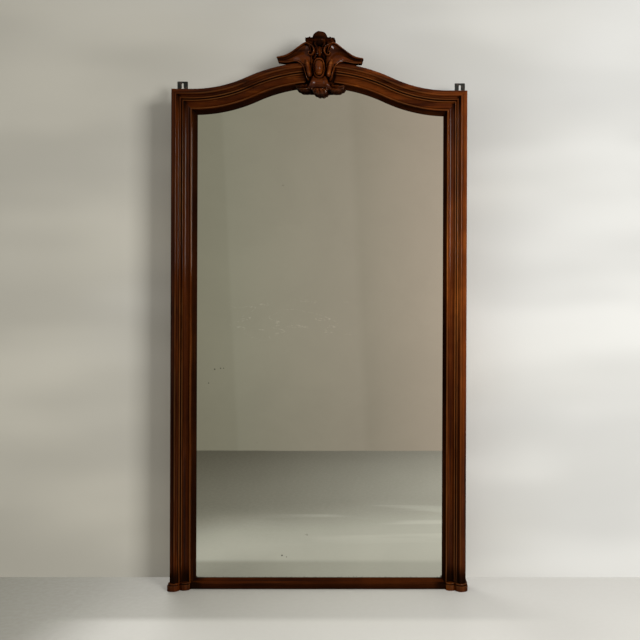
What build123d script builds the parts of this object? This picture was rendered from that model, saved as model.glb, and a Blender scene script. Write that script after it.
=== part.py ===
"""Tall floor mirror: a moulded wooden frame with an arched, carved top, a silvered plate and a panelled back.

The mirror stands upright on its two stiles and faces -Y. X runs across it, Z is up, and the origin is on
the floor under the middle of its box. A point of the moulding is given as (u, h): u runs from the outer edge
of the frame towards the glass, and h is the height above the face that the glass rests against. A depth v
runs from the back plane towards the front. All sizes are in millimetres.
"""

import os
from math import asin, atan, cos, degrees, sin, sqrt

from build123d import *

# Overall frame
frame_width = 1184.0
corner_height = 2003.0
corner_flat = 81.0
arch_rise = 112.0
knee_radius = 520.0

# Fits
joint_gap = 0.15
hole_gap = 0.2
seat_gap = 0.3
panel_play = 1.0
glass_play = 2.0
cut_margin = 4.0

# Depths behind the face that the glass rests against, and the widths of the two rebates
back_thickness = 12.0
block_thickness = 7.0
glass_thickness = 5.0
glass_lap = 10.0
ledge_width = 20.0

# Widths of the moulding's members, from the outer edge towards the glass
flank_width = 19.0
crown_width = 8.0
cavetto_width = 8.0
fine_bead_width = 5.0
quirk_width = 4.0
inner_bead_width = 5.0
hollow_width = 26.0
fillet_width = 5.0
slope_width = 16.0

# Heights of the same members above the glass
side_height = 30.0
flank_height = 54.0
crown_height = 57.0
crown_foot = 53.0
cavetto_foot = 42.0
cavetto_sag = 2.0
fine_bead_height = 43.5
fine_bead_foot = 39.0
quirk_floor = 33.0
inner_bead_foot = 35.0
inner_bead_height = 38.0
hollow_start = 32.0
hollow_floor = 23.0
hollow_end = 29.0
fillet_height = 30.0
slope_start = 28.0
slope_sag = 2.0
lip_height = 4.0
core_cover = 2.0

# Bottom rail with its tenons and pegs
floor_clearance = 2.0
sight_bottom = 39.0
tenon_length = 40.0
tenon_thickness = 12.0
tenon_height = 14.0
tenon_back = 26.0
peg_radius = 3.5
peg_length = 42.0

# Plinth blocks, with drops measured back from their foremost line
plinth_height = 30.0
plinth_collar = 9.0
plinth_step = 3.5
plinth_overhang = 7.0
plinth_back = 10.0
plinth_shoulder_drop = 30.0
plinth_lobe_place = 18.0
plinth_valley_place = 42.0
plinth_valley_drop = 24.0
plinth_inner_place = 62.0
plinth_inner_drop = 16.0
plinth_end_drop = 28.0

# Mitre keys and the loose tenon between the halves of the top rail
key_back = 28.0
key_thickness = 8.0
key_length = 50.0
key_width = 48.0
key_centre = 42.0
loose_tenon_length = 90.0
loose_tenon_width = 26.0
loose_tenon_inset = 34.0

# Panelled back
back_member_width = 64.0
back_top_rail_drop = 173.0
back_bottom_rail_height = 70.0
panel_rows = 3
panel_thickness = 5.0
panel_tongue = 8.0
back_tenon = 25.0
muntin_tenon = 15.0
tenon_shoulder = 10.0

# Glazing blocks behind the glass and setting blocks under it
block_length = 40.0
block_width = 10.0
side_blocks = 8
side_block_margin = 150.0
top_blocks = 6
top_block_margin = 200.0
setting_blocks = 4
setting_block_margin = 80.0

# Carved crest, with heights in front of the glass and rises above the crown of the arch
crest_back = 14.0
crest_seat = 20.0
board_front = 38.0
plaque_front = 54.0
body_half_width = 58.0
body_rise = -120.0
shoulder_place = 56.0
shoulder_rise = 80.0
wing_hollow = (106.0, 40.0)
wing_tip = (174.0, 17.0)
wing_tip_foot = (165.0, -7.0)
wing_arch_start = (127.0, -3.4)
wing_arch_crown = (90.0, 4.0)
wing_arch_end_rise = -24.0
plaque_top = (44.0, 72.0)
plaque_waist = (31.0, 20.0)
plaque_hip = (46.0, -40.0)
plaque_foot = (50.0, -112.0)
cap_back = 20.0
cap_front = 50.0
cap_top_rise = 123.0
cap_half_width = 32.0
cap_notch_rise = 94.0
ear_crown = (46.0, 103.0)
cabochon_rise = -32.0
cabochon_half_width = 19.0
cabochon_half_height = 37.0
cabochon_front = 84.0
cabochon_curve = 80.0
cabochon_rim = 4.0
cabochon_rim_height = 14.0
scroll_top_rise = -79.0
scroll_back_curve = (82.0, -89.0)
scroll_point = (99.0, -114.0)
scroll_nose = (97.0, -132.0)
scroll_belly = (78.0, -134.0)
scroll_front = 66.0
scroll_back = 2.0
drop_half_width = 36.0
drop_waist = (29.0, -138.0)
drop_rise = -153.0
drop_back = 2.0
drop_front = 68.0

# Iron hanging plates
plate_width = 42.0
plate_thickness = 3.0
plate_inset = 8.0
plate_above = 44.0
plate_below = 110.0
plate_corner = 3.0
keyhole_radius = 8.0
keyhole_rise = 10.5
keyhole_slot_radius = 4.0
keyhole_slot_rise = 33.0
plate_screw_drops = (16.0, 76.0, 100.0)

# Wood screws
screw_radius = 2.0
screw_head_radius = 4.2
screw_head_depth = 2.4
screw_point_radius = 0.4
screw_slot_width = 0.9
screw_slot_depth = 0.9
back_screw_length = 24.0
plate_screw_length = 24.0
plinth_screw_length = 62.0
crest_screw_length = 64.0
stile_screws = 7
stile_screw_margin = 120.0
top_screws = 6
foot_screws = 4
rail_screw_margin = 200.0
plinth_screw_insets = (12.0, 30.0)
plinth_screw_rise = 14.0
crest_screw_place = 30.0
crest_screw_inset = 16.0

# Worked out from the sizes above
half_width = frame_width / 2
arch_top = corner_height + arch_rise
seat = back_thickness + block_thickness + glass_thickness
cavetto_u = flank_width + crown_width
fine_bead_u = cavetto_u + cavetto_width
quirk_u = fine_bead_u + fine_bead_width
inner_bead_u = quirk_u + quirk_width
hollow_u = inner_bead_u + inner_bead_width
fillet_u = hollow_u + hollow_width
slope_u = fillet_u + fillet_width
moulding_width = slope_u + slope_width
glass_rebate = moulding_width - glass_lap
ledge_u = glass_rebate - ledge_width
foot_drop = moulding_width - sight_bottom
rail_end = half_width - slope_u
core_front = seat + hollow_floor - core_cover
knee_x = half_width - corner_flat
knee_angle = 2 * atan(arch_rise / knee_x)
hump_radius = knee_x / sin(knee_angle) - knee_radius
plinth_front = seat + crown_height + plinth_overhang
depth = max(seat + cabochon_front, plinth_front)
back_inset = ledge_u + panel_play
back_side = half_width - back_inset
back_inner = back_side - back_member_width
muntin_half = back_member_width / 2
back_foot = back_inset - foot_drop
back_rows_foot = back_foot + back_bottom_rail_height
back_rows_top = corner_height - back_top_rail_drop
row_height = (back_rows_top - back_rows_foot - (panel_rows - 1) * back_member_width) / panel_rows
panel_back = (back_thickness - panel_thickness) / 2
panel_front = panel_back + panel_thickness
glass_inset = glass_rebate + glass_play


# Drawing aids


def at(x, v, z):
    """A point from its place across, its depth in front of the back plane and its height above the floor."""
    return (x, depth / 2 - v, z)


def slab(x1, x2, v1, v2, z1, z2):
    """A box between two places across, two depths and two heights."""
    return Pos(*at((x1 + x2) / 2, (v1 + v2) / 2, (z1 + z2) / 2)) * Box(x2 - x1, v2 - v1, z2 - z1)


def rod(x, z, v1, v2, radius):
    """A round bar that runs from one depth to another."""
    return Pos(*at(x, (v1 + v2) / 2, z)) * Rot(90, 0, 0) * Cylinder(radius, v2 - v1)


def draw(start, steps, place):
    """Edges from start through the steps. A point ends a line; two points are an arc's middle and end."""
    edges = []
    last = start
    for step in steps:
        if isinstance(step[0], tuple):
            edges.append(ThreePointArc(place(*last), place(*step[0]), place(*step[1])))
            last = step[1]
        else:
            edges.append(Line(place(*last), place(*step)))
            last = step
    return edges


def plate(start, steps, v1, v2):
    """A closed outline of (across, height) points, as thick as from one depth to another."""
    face = make_face(draw(start, steps + [start], lambda x, z: at(x, v1, z)))
    return extrude(face, amount=v2 - v1, dir=(0, -1, 0))


def flip(shape):
    """The same shape on the other side of the middle."""
    return mirror(shape, about=Plane.YZ)


def spread(first, last, count):
    """Evenly spaced places from the first to the last."""
    return [first + (last - first) * i / (count - 1) for i in range(count)]


# The arched top edge


def arch_z(x, inset):
    """Height of the arch at a place across, on the curve that runs this far inside the outer edge."""
    turn = knee_x - (knee_radius + inset) * sin(knee_angle)
    if abs(x) >= knee_x:
        return corner_height - inset
    if abs(x) >= turn:
        return corner_height + knee_radius - sqrt((knee_radius + inset) ** 2 - (knee_x - abs(x)) ** 2)
    return arch_top - hump_radius + sqrt((hump_radius - inset) ** 2 - x**2)


def arch_steps(inset, x_from, x_to):
    """Steps along the arch from one place across to another, in either direction."""
    turn = knee_x - (knee_radius + inset) * sin(knee_angle)
    low, high = sorted((x_from, x_to))
    places = [low] + [x for x in (-knee_x, -turn, turn, knee_x) if low < x < high] + [high]
    if x_to < x_from:
        places.reverse()
    steps = []
    for a, b in zip(places, places[1:]):
        middle = (a + b) / 2
        if abs(middle) > knee_x:
            steps.append((b, arch_z(b, inset)))
        else:
            steps.append(((middle, arch_z(middle, inset)), (b, arch_z(b, inset))))
    return steps


def under_arch(inset, x1, x2, z, v1, v2):
    """A plate whose foot is level at height z and whose top follows the arch."""
    return plate((x1, z), [(x1, arch_z(x1, inset))] + arch_steps(inset, x1, x2) + [(x2, z)], v1, v2)


# The moulding's section

slope_middle = (slope_u + slope_width / 2 - slope_sag, (slope_start + lip_height) / 2 - slope_sag)
inner_members = [
    (slope_u, slope_start),
    (slope_middle, (moulding_width, lip_height)),
    (moulding_width, 0),
    (glass_rebate, 0),
    (glass_rebate, back_thickness - seat),
    (ledge_u, back_thickness - seat),
    (ledge_u, -seat),
]
flank_rise = flank_height - side_height
flank_radius = (flank_width**2 + flank_rise**2) / (2 * flank_width)
flank_turn = asin(flank_rise / flank_radius) / 2
flank_middle = (flank_radius * (1 - cos(flank_turn)), side_height + flank_radius * sin(flank_turn))
cavetto_middle = (
    cavetto_u + cavetto_width / 2 - cavetto_sag,
    (crown_foot + cavetto_foot) / 2 - cavetto_sag,
)
outer_members = [
    (0, side_height),
    (flank_middle, (flank_width, flank_height)),
    ((flank_width + crown_width / 2, crown_height), (cavetto_u, crown_foot)),
    (cavetto_middle, (fine_bead_u, cavetto_foot)),
    ((fine_bead_u + fine_bead_width / 2, fine_bead_height), (quirk_u, fine_bead_foot)),
    (quirk_u + quirk_width / 2, quirk_floor),
    (inner_bead_u, inner_bead_foot),
    ((inner_bead_u + inner_bead_width / 2, inner_bead_height), (hollow_u, inner_bead_foot)),
    (hollow_u, hollow_start),
    ((hollow_u + hollow_width / 2, hollow_floor), (fillet_u, hollow_end)),
    (fillet_u, fillet_height),
    (slope_u, fillet_height),
]


def full_section(place):
    """The whole moulding's section, where place turns (u, h) into a point."""
    start = (0, -seat)
    return make_face(draw(start, outer_members + inner_members + [start], place))


def band_section(place):
    """The bottom rail's section: a flat band with the moulding's inner slope."""
    start = (foot_drop + floor_clearance, -seat)
    band = [(start[0], fillet_height), (slope_u, fillet_height)]
    return make_face(draw(start, band + inner_members + [start], place))


# Screws, which all enter from behind and point forwards


def screw(x, z, length):
    """A slotted countersunk wood screw with its head flush with the back plane."""
    point = 2 * screw_radius
    turn = Rot(90, 0, 0)
    cone = Cone(screw_head_radius, screw_radius, screw_head_depth)
    head = Pos(*at(x, screw_head_depth / 2, z)) * turn * cone
    shank = rod(x, z, screw_head_depth, length - point, screw_radius)
    tip = Pos(*at(x, length - point / 2, z)) * turn * Cone(screw_radius, screw_point_radius, point)
    slot = slab(
        x - screw_head_radius,
        x + screw_head_radius,
        -cut_margin,
        screw_slot_depth,
        z - screw_slot_width / 2,
        z + screw_slot_width / 2,
    )
    return head + shank + tip - slot


def drill(shape, places, length):
    """The shape with a countersunk hole for each screw that enters it."""
    box = shape.bounding_box()
    for x, z in places:
        if box.min.X < x < box.max.X and box.min.Z < z < box.max.Z:
            head = Cone(screw_head_radius + hole_gap, screw_radius + hole_gap, screw_head_depth)
            shape -= Pos(*at(x, screw_head_depth / 2, z)) * Rot(90, 0, 0) * head
            shape -= rod(x, z, -cut_margin, length + hole_gap, screw_radius + hole_gap)
    return shape


rail_reach = half_width - rail_screw_margin
screw_u = ledge_u + ledge_width / 2
back_screw_places = [
    (side * (half_width - screw_u), z)
    for side in (-1, 1)
    for z in spread(back_foot + stile_screw_margin, corner_height - stile_screw_margin, stile_screws)
]
back_screw_places += [(x, arch_z(x, screw_u)) for x in spread(-rail_reach, rail_reach, top_screws)]
back_screw_places += [(x, screw_u - foot_drop) for x in spread(-rail_reach, rail_reach, foot_screws)]
plate_x = half_width - plate_inset - plate_width / 2
sides = (-1, 1)
plate_screw_places = [(s * plate_x, corner_height - drop) for s in sides for drop in plate_screw_drops]
plinth_screw_places = [(s * (half_width - u), plinth_screw_rise) for s in sides for u in plinth_screw_insets]
crest_screw_places = [(s * crest_screw_place, arch_top - crest_screw_inset) for s in sides]

# Joints of the frame


def mitre_key(gap):
    """The key across the right mitre, or its slot when a gap is given."""
    box = Box(key_length + 2 * gap, key_thickness + 2 * gap, key_width + 2 * gap)
    middle = at(half_width - key_centre, key_back + key_thickness / 2, corner_height - key_centre)
    return Pos(*middle) * Rot(0, 45, 0) * box


def loose_tenon(gap):
    """The tenon across the middle of the top rail, or its slot when a gap is given."""
    reach = loose_tenon_length / 2 + gap
    top = arch_top - loose_tenon_inset + gap
    foot = arch_top - loose_tenon_inset - loose_tenon_width - gap
    return slab(-reach, reach, key_back - gap, key_back + key_thickness + gap, foot, top)


tenon_middle = (floor_clearance + slope_u - foot_drop) / 2
peg_x = rail_end + tenon_length / 2


def foot_tenon(gap):
    """The tenon at the right end of the bottom rail, or its mortise when a gap is given."""
    low = tenon_middle - tenon_height / 2 - gap
    high = tenon_middle + tenon_height / 2 + gap
    end = rail_end + tenon_length + gap
    return slab(rail_end - gap, end, tenon_back - gap, tenon_back + tenon_thickness + gap, low, high)


def peg(gap):
    """The peg through the right tenon, or its hole when a gap is given."""
    return rod(peg_x, tenon_middle, -gap, peg_length + gap, peg_radius + gap)


def hanging_plate(gap):
    """The right hanging plate without its holes, or its housing when a gap is given."""
    low = corner_height - plate_below
    high = corner_height + plate_above
    outline = RectangleRounded(plate_width + 2 * gap, high - low + 2 * gap, plate_corner)
    plane = Plane(origin=at(plate_x, -gap, (low + high) / 2), x_dir=(1, 0, 0), z_dir=(0, -1, 0))
    return extrude(plane * outline, amount=plate_thickness + 2 * gap)


def corner_half(above):
    """One side of the right mitre: what is above it for the stile to lose, or below it for the top rail."""
    size = moulding_width + cut_margin
    ends = [
        (half_width + cut_margin, corner_height + cut_margin),
        (half_width - size, corner_height - size),
    ]
    third = (ends[1][0], ends[0][1]) if above else (ends[0][0], ends[1][1])
    return plate(ends[0], [ends[1], third], -cut_margin, depth)


def foot_half(above):
    """One side of the right foot mitre: what is above it for the rail to lose, or below it for the stile."""
    bend = slope_u - foot_drop
    size = slope_width + cut_margin
    top = (rail_end - size, bend + size)
    if above:
        return plate((rail_end + size, bend - size), [top, (rail_end + size, top[1])], -cut_margin, depth)
    low = -cut_margin
    return plate((rail_end, bend), [top, (top[0], low), (rail_end, low)], -cut_margin, depth)


# Members of the frame


def right_stile():
    """The right stile: moulded from the plinth up, mitred at the top, plain at the foot."""
    face = full_section(lambda u, h: at(half_width - u, seat + h, 0))
    stile = extrude(face, amount=corner_height, dir=(0, 0, 1))
    stile -= corner_half(above=True)
    stile -= foot_half(above=False)
    stile += slab(rail_end, half_width - ledge_u, 0, back_thickness, 0, ledge_u - foot_drop)
    stile -= slab(rail_end, half_width + cut_margin, core_front, depth, -cut_margin, plinth_height)
    stile -= [mitre_key(joint_gap), foot_tenon(joint_gap), peg(joint_gap), hanging_plate(joint_gap)]
    stile = drill(stile, back_screw_places, back_screw_length)
    stile = drill(stile, plate_screw_places, plate_screw_length)
    return drill(stile, plinth_screw_places, plinth_screw_length)


def right_top_rail():
    """The right half of the top rail: level at the corner, then a hollow knee, then half of the hump."""
    corner_face = full_section(lambda u, h: at(knee_x, seat + h, corner_height - u))
    crown_face = full_section(lambda u, h: at(0, seat + h, arch_top - u))
    knee_axis = Axis((knee_x, 0, corner_height + knee_radius), (0, 1, 0))
    hump_axis = Axis((0, 0, arch_top - hump_radius), (0, 1, 0))
    rail = extrude(corner_face, amount=half_width - knee_x, dir=(1, 0, 0))
    rail += revolve(corner_face, knee_axis, degrees(knee_angle))
    rail += revolve(crown_face, hump_axis, degrees(knee_angle))
    rail -= corner_half(above=False)
    wide = body_half_width + joint_gap
    rail -= slab(-wide, wide, seat + crest_seat, depth, corner_height - moulding_width, arch_top + cut_margin)
    rail -= [mitre_key(joint_gap), loose_tenon(joint_gap), hanging_plate(joint_gap)]
    rail = drill(rail, back_screw_places, back_screw_length)
    rail = drill(rail, plate_screw_places, plate_screw_length)
    return drill(rail, crest_screw_places, crest_screw_length)


def bottom_rail():
    """The bottom rail with a tenon at each end."""
    face = band_section(lambda u, h: at(-rail_end, seat + h, u - foot_drop))
    rail = extrude(face, amount=2 * rail_end, dir=(1, 0, 0))
    for end in (foot_half(above=True), flip(foot_half(above=True))):
        rail -= end
    rail += [foot_tenon(0), flip(foot_tenon(0))]
    rail -= [peg(joint_gap), flip(peg(joint_gap))]
    return drill(rail, back_screw_places, back_screw_length)


def plinth_layer(step, z1, z2):
    """One layer of the right plinth block, set back by a step from the widest one."""
    front = plinth_front - step
    outer = step - plinth_overhang
    start = (outer, plinth_back)
    steps = [
        (outer, front - plinth_shoulder_drop),
        ((plinth_lobe_place, front), (plinth_valley_place, front - plinth_valley_drop)),
        ((plinth_inner_place, front - plinth_inner_drop), (slope_u, front - plinth_end_drop)),
        (slope_u, core_front),
        (0, core_front),
        (0, plinth_back),
    ]
    face = make_face(draw(start, steps + [start], lambda u, v: at(half_width - u, v, z1)))
    return extrude(face, amount=z2 - z1, dir=(0, 0, 1))


def right_plinth():
    """The right plinth block: a lobed base round the stile's front and outer side, and a narrower collar."""
    block = plinth_layer(0, 0, plinth_height - plinth_collar)
    block += plinth_layer(plinth_step, plinth_height - plinth_collar, plinth_height)
    return drill(block, plinth_screw_places, plinth_screw_length)


# Glass with its blocks


def glass():
    """The silvered plate, level at the foot and arched at the top."""
    side = half_width - glass_inset
    return under_arch(glass_inset, -side, side, glass_inset - foot_drop, seat - glass_thickness, seat)


def glazing_blocks():
    """Blocks glued to the rebate's wall behind the glass, down both sides and under the arch."""
    back, front = back_thickness, seat - glass_thickness
    wall = half_width - glass_rebate
    rows = spread(side_block_margin, corner_height - side_block_margin - moulding_width, side_blocks)
    blocks = []
    for z in rows:
        block = slab(wall - block_width, wall, back, front, z - block_length / 2, z + block_length / 2)
        blocks += [block, flip(block)]
    reach = half_width - top_block_margin
    for x in spread(-reach, reach, top_blocks):
        x1, x2 = x - block_length / 2, x + block_length / 2
        inner = glass_rebate + block_width
        steps = [(x1, arch_z(x1, glass_rebate))] + arch_steps(glass_rebate, x1, x2)
        steps += [(x2, arch_z(x2, inner))] + arch_steps(inner, x2, x1)[:-1]
        blocks.append(plate((x1, arch_z(x1, inner)), steps, back, front))
    return blocks


def setting_block(x):
    """One block under the glass, with a lip behind it."""
    wall = glass_rebate - foot_drop
    x1, x2 = x - block_length / 2, x + block_length / 2
    lip = slab(x1, x2, back_thickness, seat - glass_thickness, wall, wall + block_width)
    return lip + slab(x1, x2, seat - glass_thickness, seat, wall, wall + glass_play)


# Panelled back


def tongue(x1, x2, z1, z2, play=None):
    """A tongue as thick as the panels, or its groove when a play is given."""
    fit = 0 if play is None else joint_gap
    grow = play or 0
    return slab(x1 - grow, x2 + grow, panel_back - fit, panel_front + fit, z1 - grow, z2 + grow)


row_feet = [back_rows_foot + i * (row_height + back_member_width) for i in range(panel_rows)]


def panel(foot, play=None):
    """A panel of the right column, by the height where its opening starts, or its grooves."""
    x1, x2 = muntin_half - panel_tongue, back_inner + panel_tongue
    return tongue(x1, x2, foot - panel_tongue, foot + row_height + panel_tongue, play)


def rail_tenon(low, high, x1, x2, play=None):
    """A tenon of a rail whose edges are at two heights, or its mortise."""
    return tongue(x1, x2, low + tenon_shoulder, high - tenon_shoulder, play)


def muntin_end(z1, z2, play=None):
    """A tenon at the end of the muntin, or its mortise."""
    return tongue(tenon_shoulder - muntin_half, muntin_half - tenon_shoulder, z1, z2, play)


grooves = [panel(foot, panel_play) for foot in row_feet]
grooves += [flip(groove) for groove in grooves]
cross_feet = [foot + row_height for foot in row_feet[:-1]]
top_rail_side = arch_z(back_inner, back_inset)
rail_edges = [(foot, foot + back_member_width) for foot in cross_feet]
rail_edges += [(back_foot, back_rows_foot), (back_rows_top, top_rail_side)]


def right_back_stile():
    """The right stile of the back, grooved for the panels and mortised for the rails."""
    stile = under_arch(back_inset, back_inner, back_side, back_foot, 0, back_thickness)
    stile -= grooves
    end = back_inner + back_tenon
    stile -= [rail_tenon(low, high, back_inner, end, joint_gap) for low, high in rail_edges]
    return drill(stile, back_screw_places, back_screw_length)


def back_end_rail(low, high, body):
    """The back's top or bottom rail from its blank, with tenons and with the muntin's mortise."""
    tenon = rail_tenon(low, high, back_inner, back_inner + back_tenon)
    body += [tenon, flip(tenon)]
    body -= grooves
    body -= muntin_end(back_rows_foot - back_tenon, back_rows_top + back_tenon, joint_gap)
    return drill(body, back_screw_places, back_screw_length)


def back_muntin():
    """The upright in the middle of the back."""
    upright = slab(-muntin_half, muntin_half, 0, back_thickness, back_rows_foot, back_rows_top)
    upright += muntin_end(back_rows_foot - back_tenon, back_rows_top + back_tenon)
    upright -= grooves
    for foot in cross_feet:
        high = foot + back_member_width
        slot = rail_tenon(foot, high, muntin_half - muntin_tenon, muntin_half, joint_gap)
        upright -= [slot, flip(slot)]
    return upright


def back_cross_rail(foot):
    """A short rail of the right column."""
    high = foot + back_member_width
    rail = slab(muntin_half, back_inner, 0, back_thickness, foot, high)
    rail += rail_tenon(foot, high, muntin_half - muntin_tenon, back_inner + back_tenon)
    return rail - grooves


# Carved crest


def rises(*steps):
    """Steps whose heights are rises above the crown of the arch, turned into heights above the floor."""
    out = []
    for step in steps:
        if isinstance(step[0], tuple):
            out.append(tuple((x, arch_top + rise) for x, rise in step))
        else:
            out.append((step[0], arch_top + step[1]))
    return out


def two_sided(half):
    """A half joined to its mirror image."""
    return half + flip(half)


def crest_board():
    """The crest's board: two wings above the rail and a body let into the rail's face."""
    outline = rises(
        (0, shoulder_rise),
        (shoulder_place, shoulder_rise),
        (wing_hollow, wing_tip),
        wing_tip_foot,
        wing_arch_start,
        (wing_arch_crown, (body_half_width, wing_arch_end_rise)),
        (body_half_width, body_rise),
        (0, body_rise),
    )
    half = plate(outline[0], outline[1:], crest_back, seat + board_front)
    low = arch_top + body_rise - cut_margin
    half -= slab(-cut_margin, body_half_width, 0, seat + crest_seat, low, arch_top + seat_gap)
    half -= under_arch(-seat_gap, body_half_width, wing_arch_crown[0], low, 0, depth)
    return drill(two_sided(half), crest_screw_places, crest_screw_length)


def crest_plaque():
    """A waisted plaque on the front of the board."""
    outline = rises(
        (0, plaque_top[1]),
        plaque_top,
        (plaque_waist, plaque_hip),
        plaque_foot,
        (0, plaque_foot[1]),
    )
    half = plate(outline[0], outline[1:], seat + board_front, seat + plaque_front)
    return drill(two_sided(half), crest_screw_places, crest_screw_length)


def crest_cap():
    """A domed cap between two small ears, on top of the board."""
    dome_rise = cap_top_rise - cap_notch_rise
    dome_middle = (cap_half_width * sqrt(0.5), cap_notch_rise + dome_rise * sqrt(0.5))
    outline = rises(
        (0, shoulder_rise),
        (shoulder_place, shoulder_rise),
        (ear_crown, (cap_half_width, cap_notch_rise)),
        (dome_middle, (0, cap_top_rise)),
    )
    return two_sided(plate(outline[0], outline[1:], cap_back, seat + cap_front))


def crest_cabochon():
    """An oval boss with a domed front inside a raised rim."""
    middle = arch_top + cabochon_rise
    base = seat + plaque_front
    plane = Plane(origin=at(0, base, middle), x_dir=(1, 0, 0), z_dir=(0, -1, 0))
    oval = Ellipse(cabochon_half_width, cabochon_half_height)
    ring = Ellipse(cabochon_half_width + cabochon_rim, cabochon_half_height + cabochon_rim) - oval
    boss = extrude(plane * oval, amount=seat + cabochon_front - base)
    boss &= Pos(*at(0, seat + cabochon_front - cabochon_curve, middle)) * Sphere(cabochon_curve)
    return boss + extrude(plane * ring, amount=cabochon_rim_height)


def right_scroll():
    """The scroll that curls out from the right side of the body, over the rail and close to the glass."""
    outline = rises(
        (body_half_width, scroll_top_rise),
        (scroll_back_curve, scroll_point),
        (scroll_nose, scroll_belly),
        (body_half_width, body_rise),
    )
    scroll = plate(outline[0], outline[1:], seat + scroll_back, seat + scroll_front)
    x1, x2 = body_half_width - cut_margin, scroll_point[0] + cut_margin
    over = arch_top + scroll_top_rise + cut_margin
    return scroll - under_arch(moulding_width + seat_gap, x1, x2, over, 0, seat + fillet_height + seat_gap)


def crest_drop():
    """The roll that hangs from the body, close in front of the glass."""
    outline = rises(
        (-drop_half_width, body_rise),
        (drop_half_width, body_rise),
        drop_waist,
        ((0, drop_rise), (-drop_waist[0], drop_waist[1])),
    )
    return plate(outline[0], outline[1:], seat + drop_back, seat + drop_front)


# Iron hanging plates


def right_hanging_plate():
    """The right plate: a round hole for a wall screw's head, with a slot above it, and three screw holes."""
    hole = corner_height + keyhole_rise
    end = corner_height + keyhole_slot_rise
    iron = hanging_plate(0)
    iron -= rod(plate_x, hole, -cut_margin, plate_thickness + cut_margin, keyhole_radius)
    iron -= rod(plate_x, end, -cut_margin, plate_thickness + cut_margin, keyhole_slot_radius)
    side = keyhole_slot_radius
    iron -= slab(plate_x - side, plate_x + side, -cut_margin, plate_thickness + cut_margin, hole, end)
    return drill(iron, plate_screw_places, plate_screw_length)


# The parts, each with its solids

stile = right_stile()
top_rail = right_top_rail()
plinth = right_plinth()
key = mitre_key(0)
back_stile = right_back_stile()
top_blank = under_arch(back_inset, -back_inner, back_inner, back_rows_top, 0, back_thickness)
bottom_blank = slab(-back_inner, back_inner, 0, back_thickness, back_foot, back_rows_foot)
setting_reach = half_width - glass_inset - setting_block_margin
parts = {
    "left_stile": [flip(stile)],
    "right_stile": [stile],
    "left_top_rail": [flip(top_rail)],
    "right_top_rail": [top_rail],
    "bottom_rail": [bottom_rail()],
    "left_plinth": [flip(plinth)],
    "right_plinth": [plinth],
    "mitre_keys": [key, flip(key)],
    "top_rail_tenon": [loose_tenon(0)],
    "frame_pegs": [peg(0), flip(peg(0))],
    "mirror_glass": [glass()],
    "glazing_blocks": glazing_blocks(),
    "setting_blocks": [setting_block(x) for x in spread(-setting_reach, setting_reach, setting_blocks)],
    "left_back_stile": [flip(back_stile)],
    "right_back_stile": [back_stile],
    "back_muntin": [back_muntin()],
    "back_top_rail": [back_end_rail(back_rows_top, top_rail_side, top_blank)],
    "back_bottom_rail": [back_end_rail(back_foot, back_rows_foot, bottom_blank)],
    "crest_board": [crest_board()],
    "crest_plaque": [crest_plaque()],
    "crest_cap": [crest_cap()],
    "crest_cabochon": [crest_cabochon()],
    "crest_scrolls": [right_scroll(), flip(right_scroll())],
    "crest_drop": [crest_drop()],
    "left_hanging_plate": [flip(right_hanging_plate())],
    "right_hanging_plate": [right_hanging_plate()],
    "back_screws": [screw(x, z, back_screw_length) for x, z in back_screw_places],
    "plate_screws": [screw(x, z, plate_screw_length) for x, z in plate_screw_places],
    "plinth_screws": [screw(x, z, plinth_screw_length) for x, z in plinth_screw_places],
    "crest_screws": [screw(x, z, crest_screw_length) for x, z in crest_screw_places],
}
for number, foot in enumerate(cross_feet, 1):
    cross = back_cross_rail(foot)
    parts[f"left_back_rail_{number}"] = [flip(cross)]
    parts[f"right_back_rail_{number}"] = [cross]
for number, foot in enumerate(row_feet, 1):
    parts[f"left_back_panel_{number}"] = [flip(panel(foot))]
    parts[f"right_back_panel_{number}"] = [panel(foot)]

os.makedirs("parts", exist_ok=True)
for name, solids in parts.items():
    export_step(solids[0] if len(solids) == 1 else Compound(children=solids), f"parts/{name}.step")
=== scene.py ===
"""Looks of the floor mirror: waxed mouldings, a carved crest, old silvering, iron plates and a plain studio
with painted light and shade on its floor and walls.

Shaders and the studio are in metres and the meshes are drawn in millimetres, in the part's own frame: X runs
across, +Z is up and the mirror faces -Y. A point of the moulding is (inset, height): inset runs from the
frame's outer edge towards the glass, and height is measured forwards from the face that the glass rests
against.
"""

from __future__ import annotations

import logging
import math
from dataclasses import dataclass, replace
from enum import Enum
from typing import Any, Callable, Sequence

import bmesh
import bpy
import numpy as np
from mathutils import Matrix, Vector
from mathutils.bvhtree import BVHTree

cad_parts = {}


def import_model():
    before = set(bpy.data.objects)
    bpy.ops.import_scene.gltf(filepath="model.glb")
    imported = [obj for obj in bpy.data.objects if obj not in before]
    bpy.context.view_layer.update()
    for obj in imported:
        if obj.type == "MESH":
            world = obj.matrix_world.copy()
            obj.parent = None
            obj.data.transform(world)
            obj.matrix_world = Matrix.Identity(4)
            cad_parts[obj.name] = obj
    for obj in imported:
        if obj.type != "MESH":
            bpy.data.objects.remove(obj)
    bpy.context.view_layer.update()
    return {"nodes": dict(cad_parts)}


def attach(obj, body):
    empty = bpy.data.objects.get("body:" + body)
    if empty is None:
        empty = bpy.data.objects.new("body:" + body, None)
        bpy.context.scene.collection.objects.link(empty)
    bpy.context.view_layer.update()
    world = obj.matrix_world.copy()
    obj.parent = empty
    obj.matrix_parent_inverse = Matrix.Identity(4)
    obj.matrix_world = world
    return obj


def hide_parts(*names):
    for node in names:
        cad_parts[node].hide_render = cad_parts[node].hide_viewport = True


log = logging.getLogger("mirror")
ROOT = "root"
MM = 0.001
Pair = tuple[float, float]
Triple = tuple[float, float, float]
BMesh, BMVert, BMFace = bmesh.types.BMesh, bmesh.types.BMVert, bmesh.types.BMFace
Material, NodeSocket, Object = bpy.types.Material, bpy.types.NodeSocket, bpy.types.Object


# Shader kit


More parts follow.
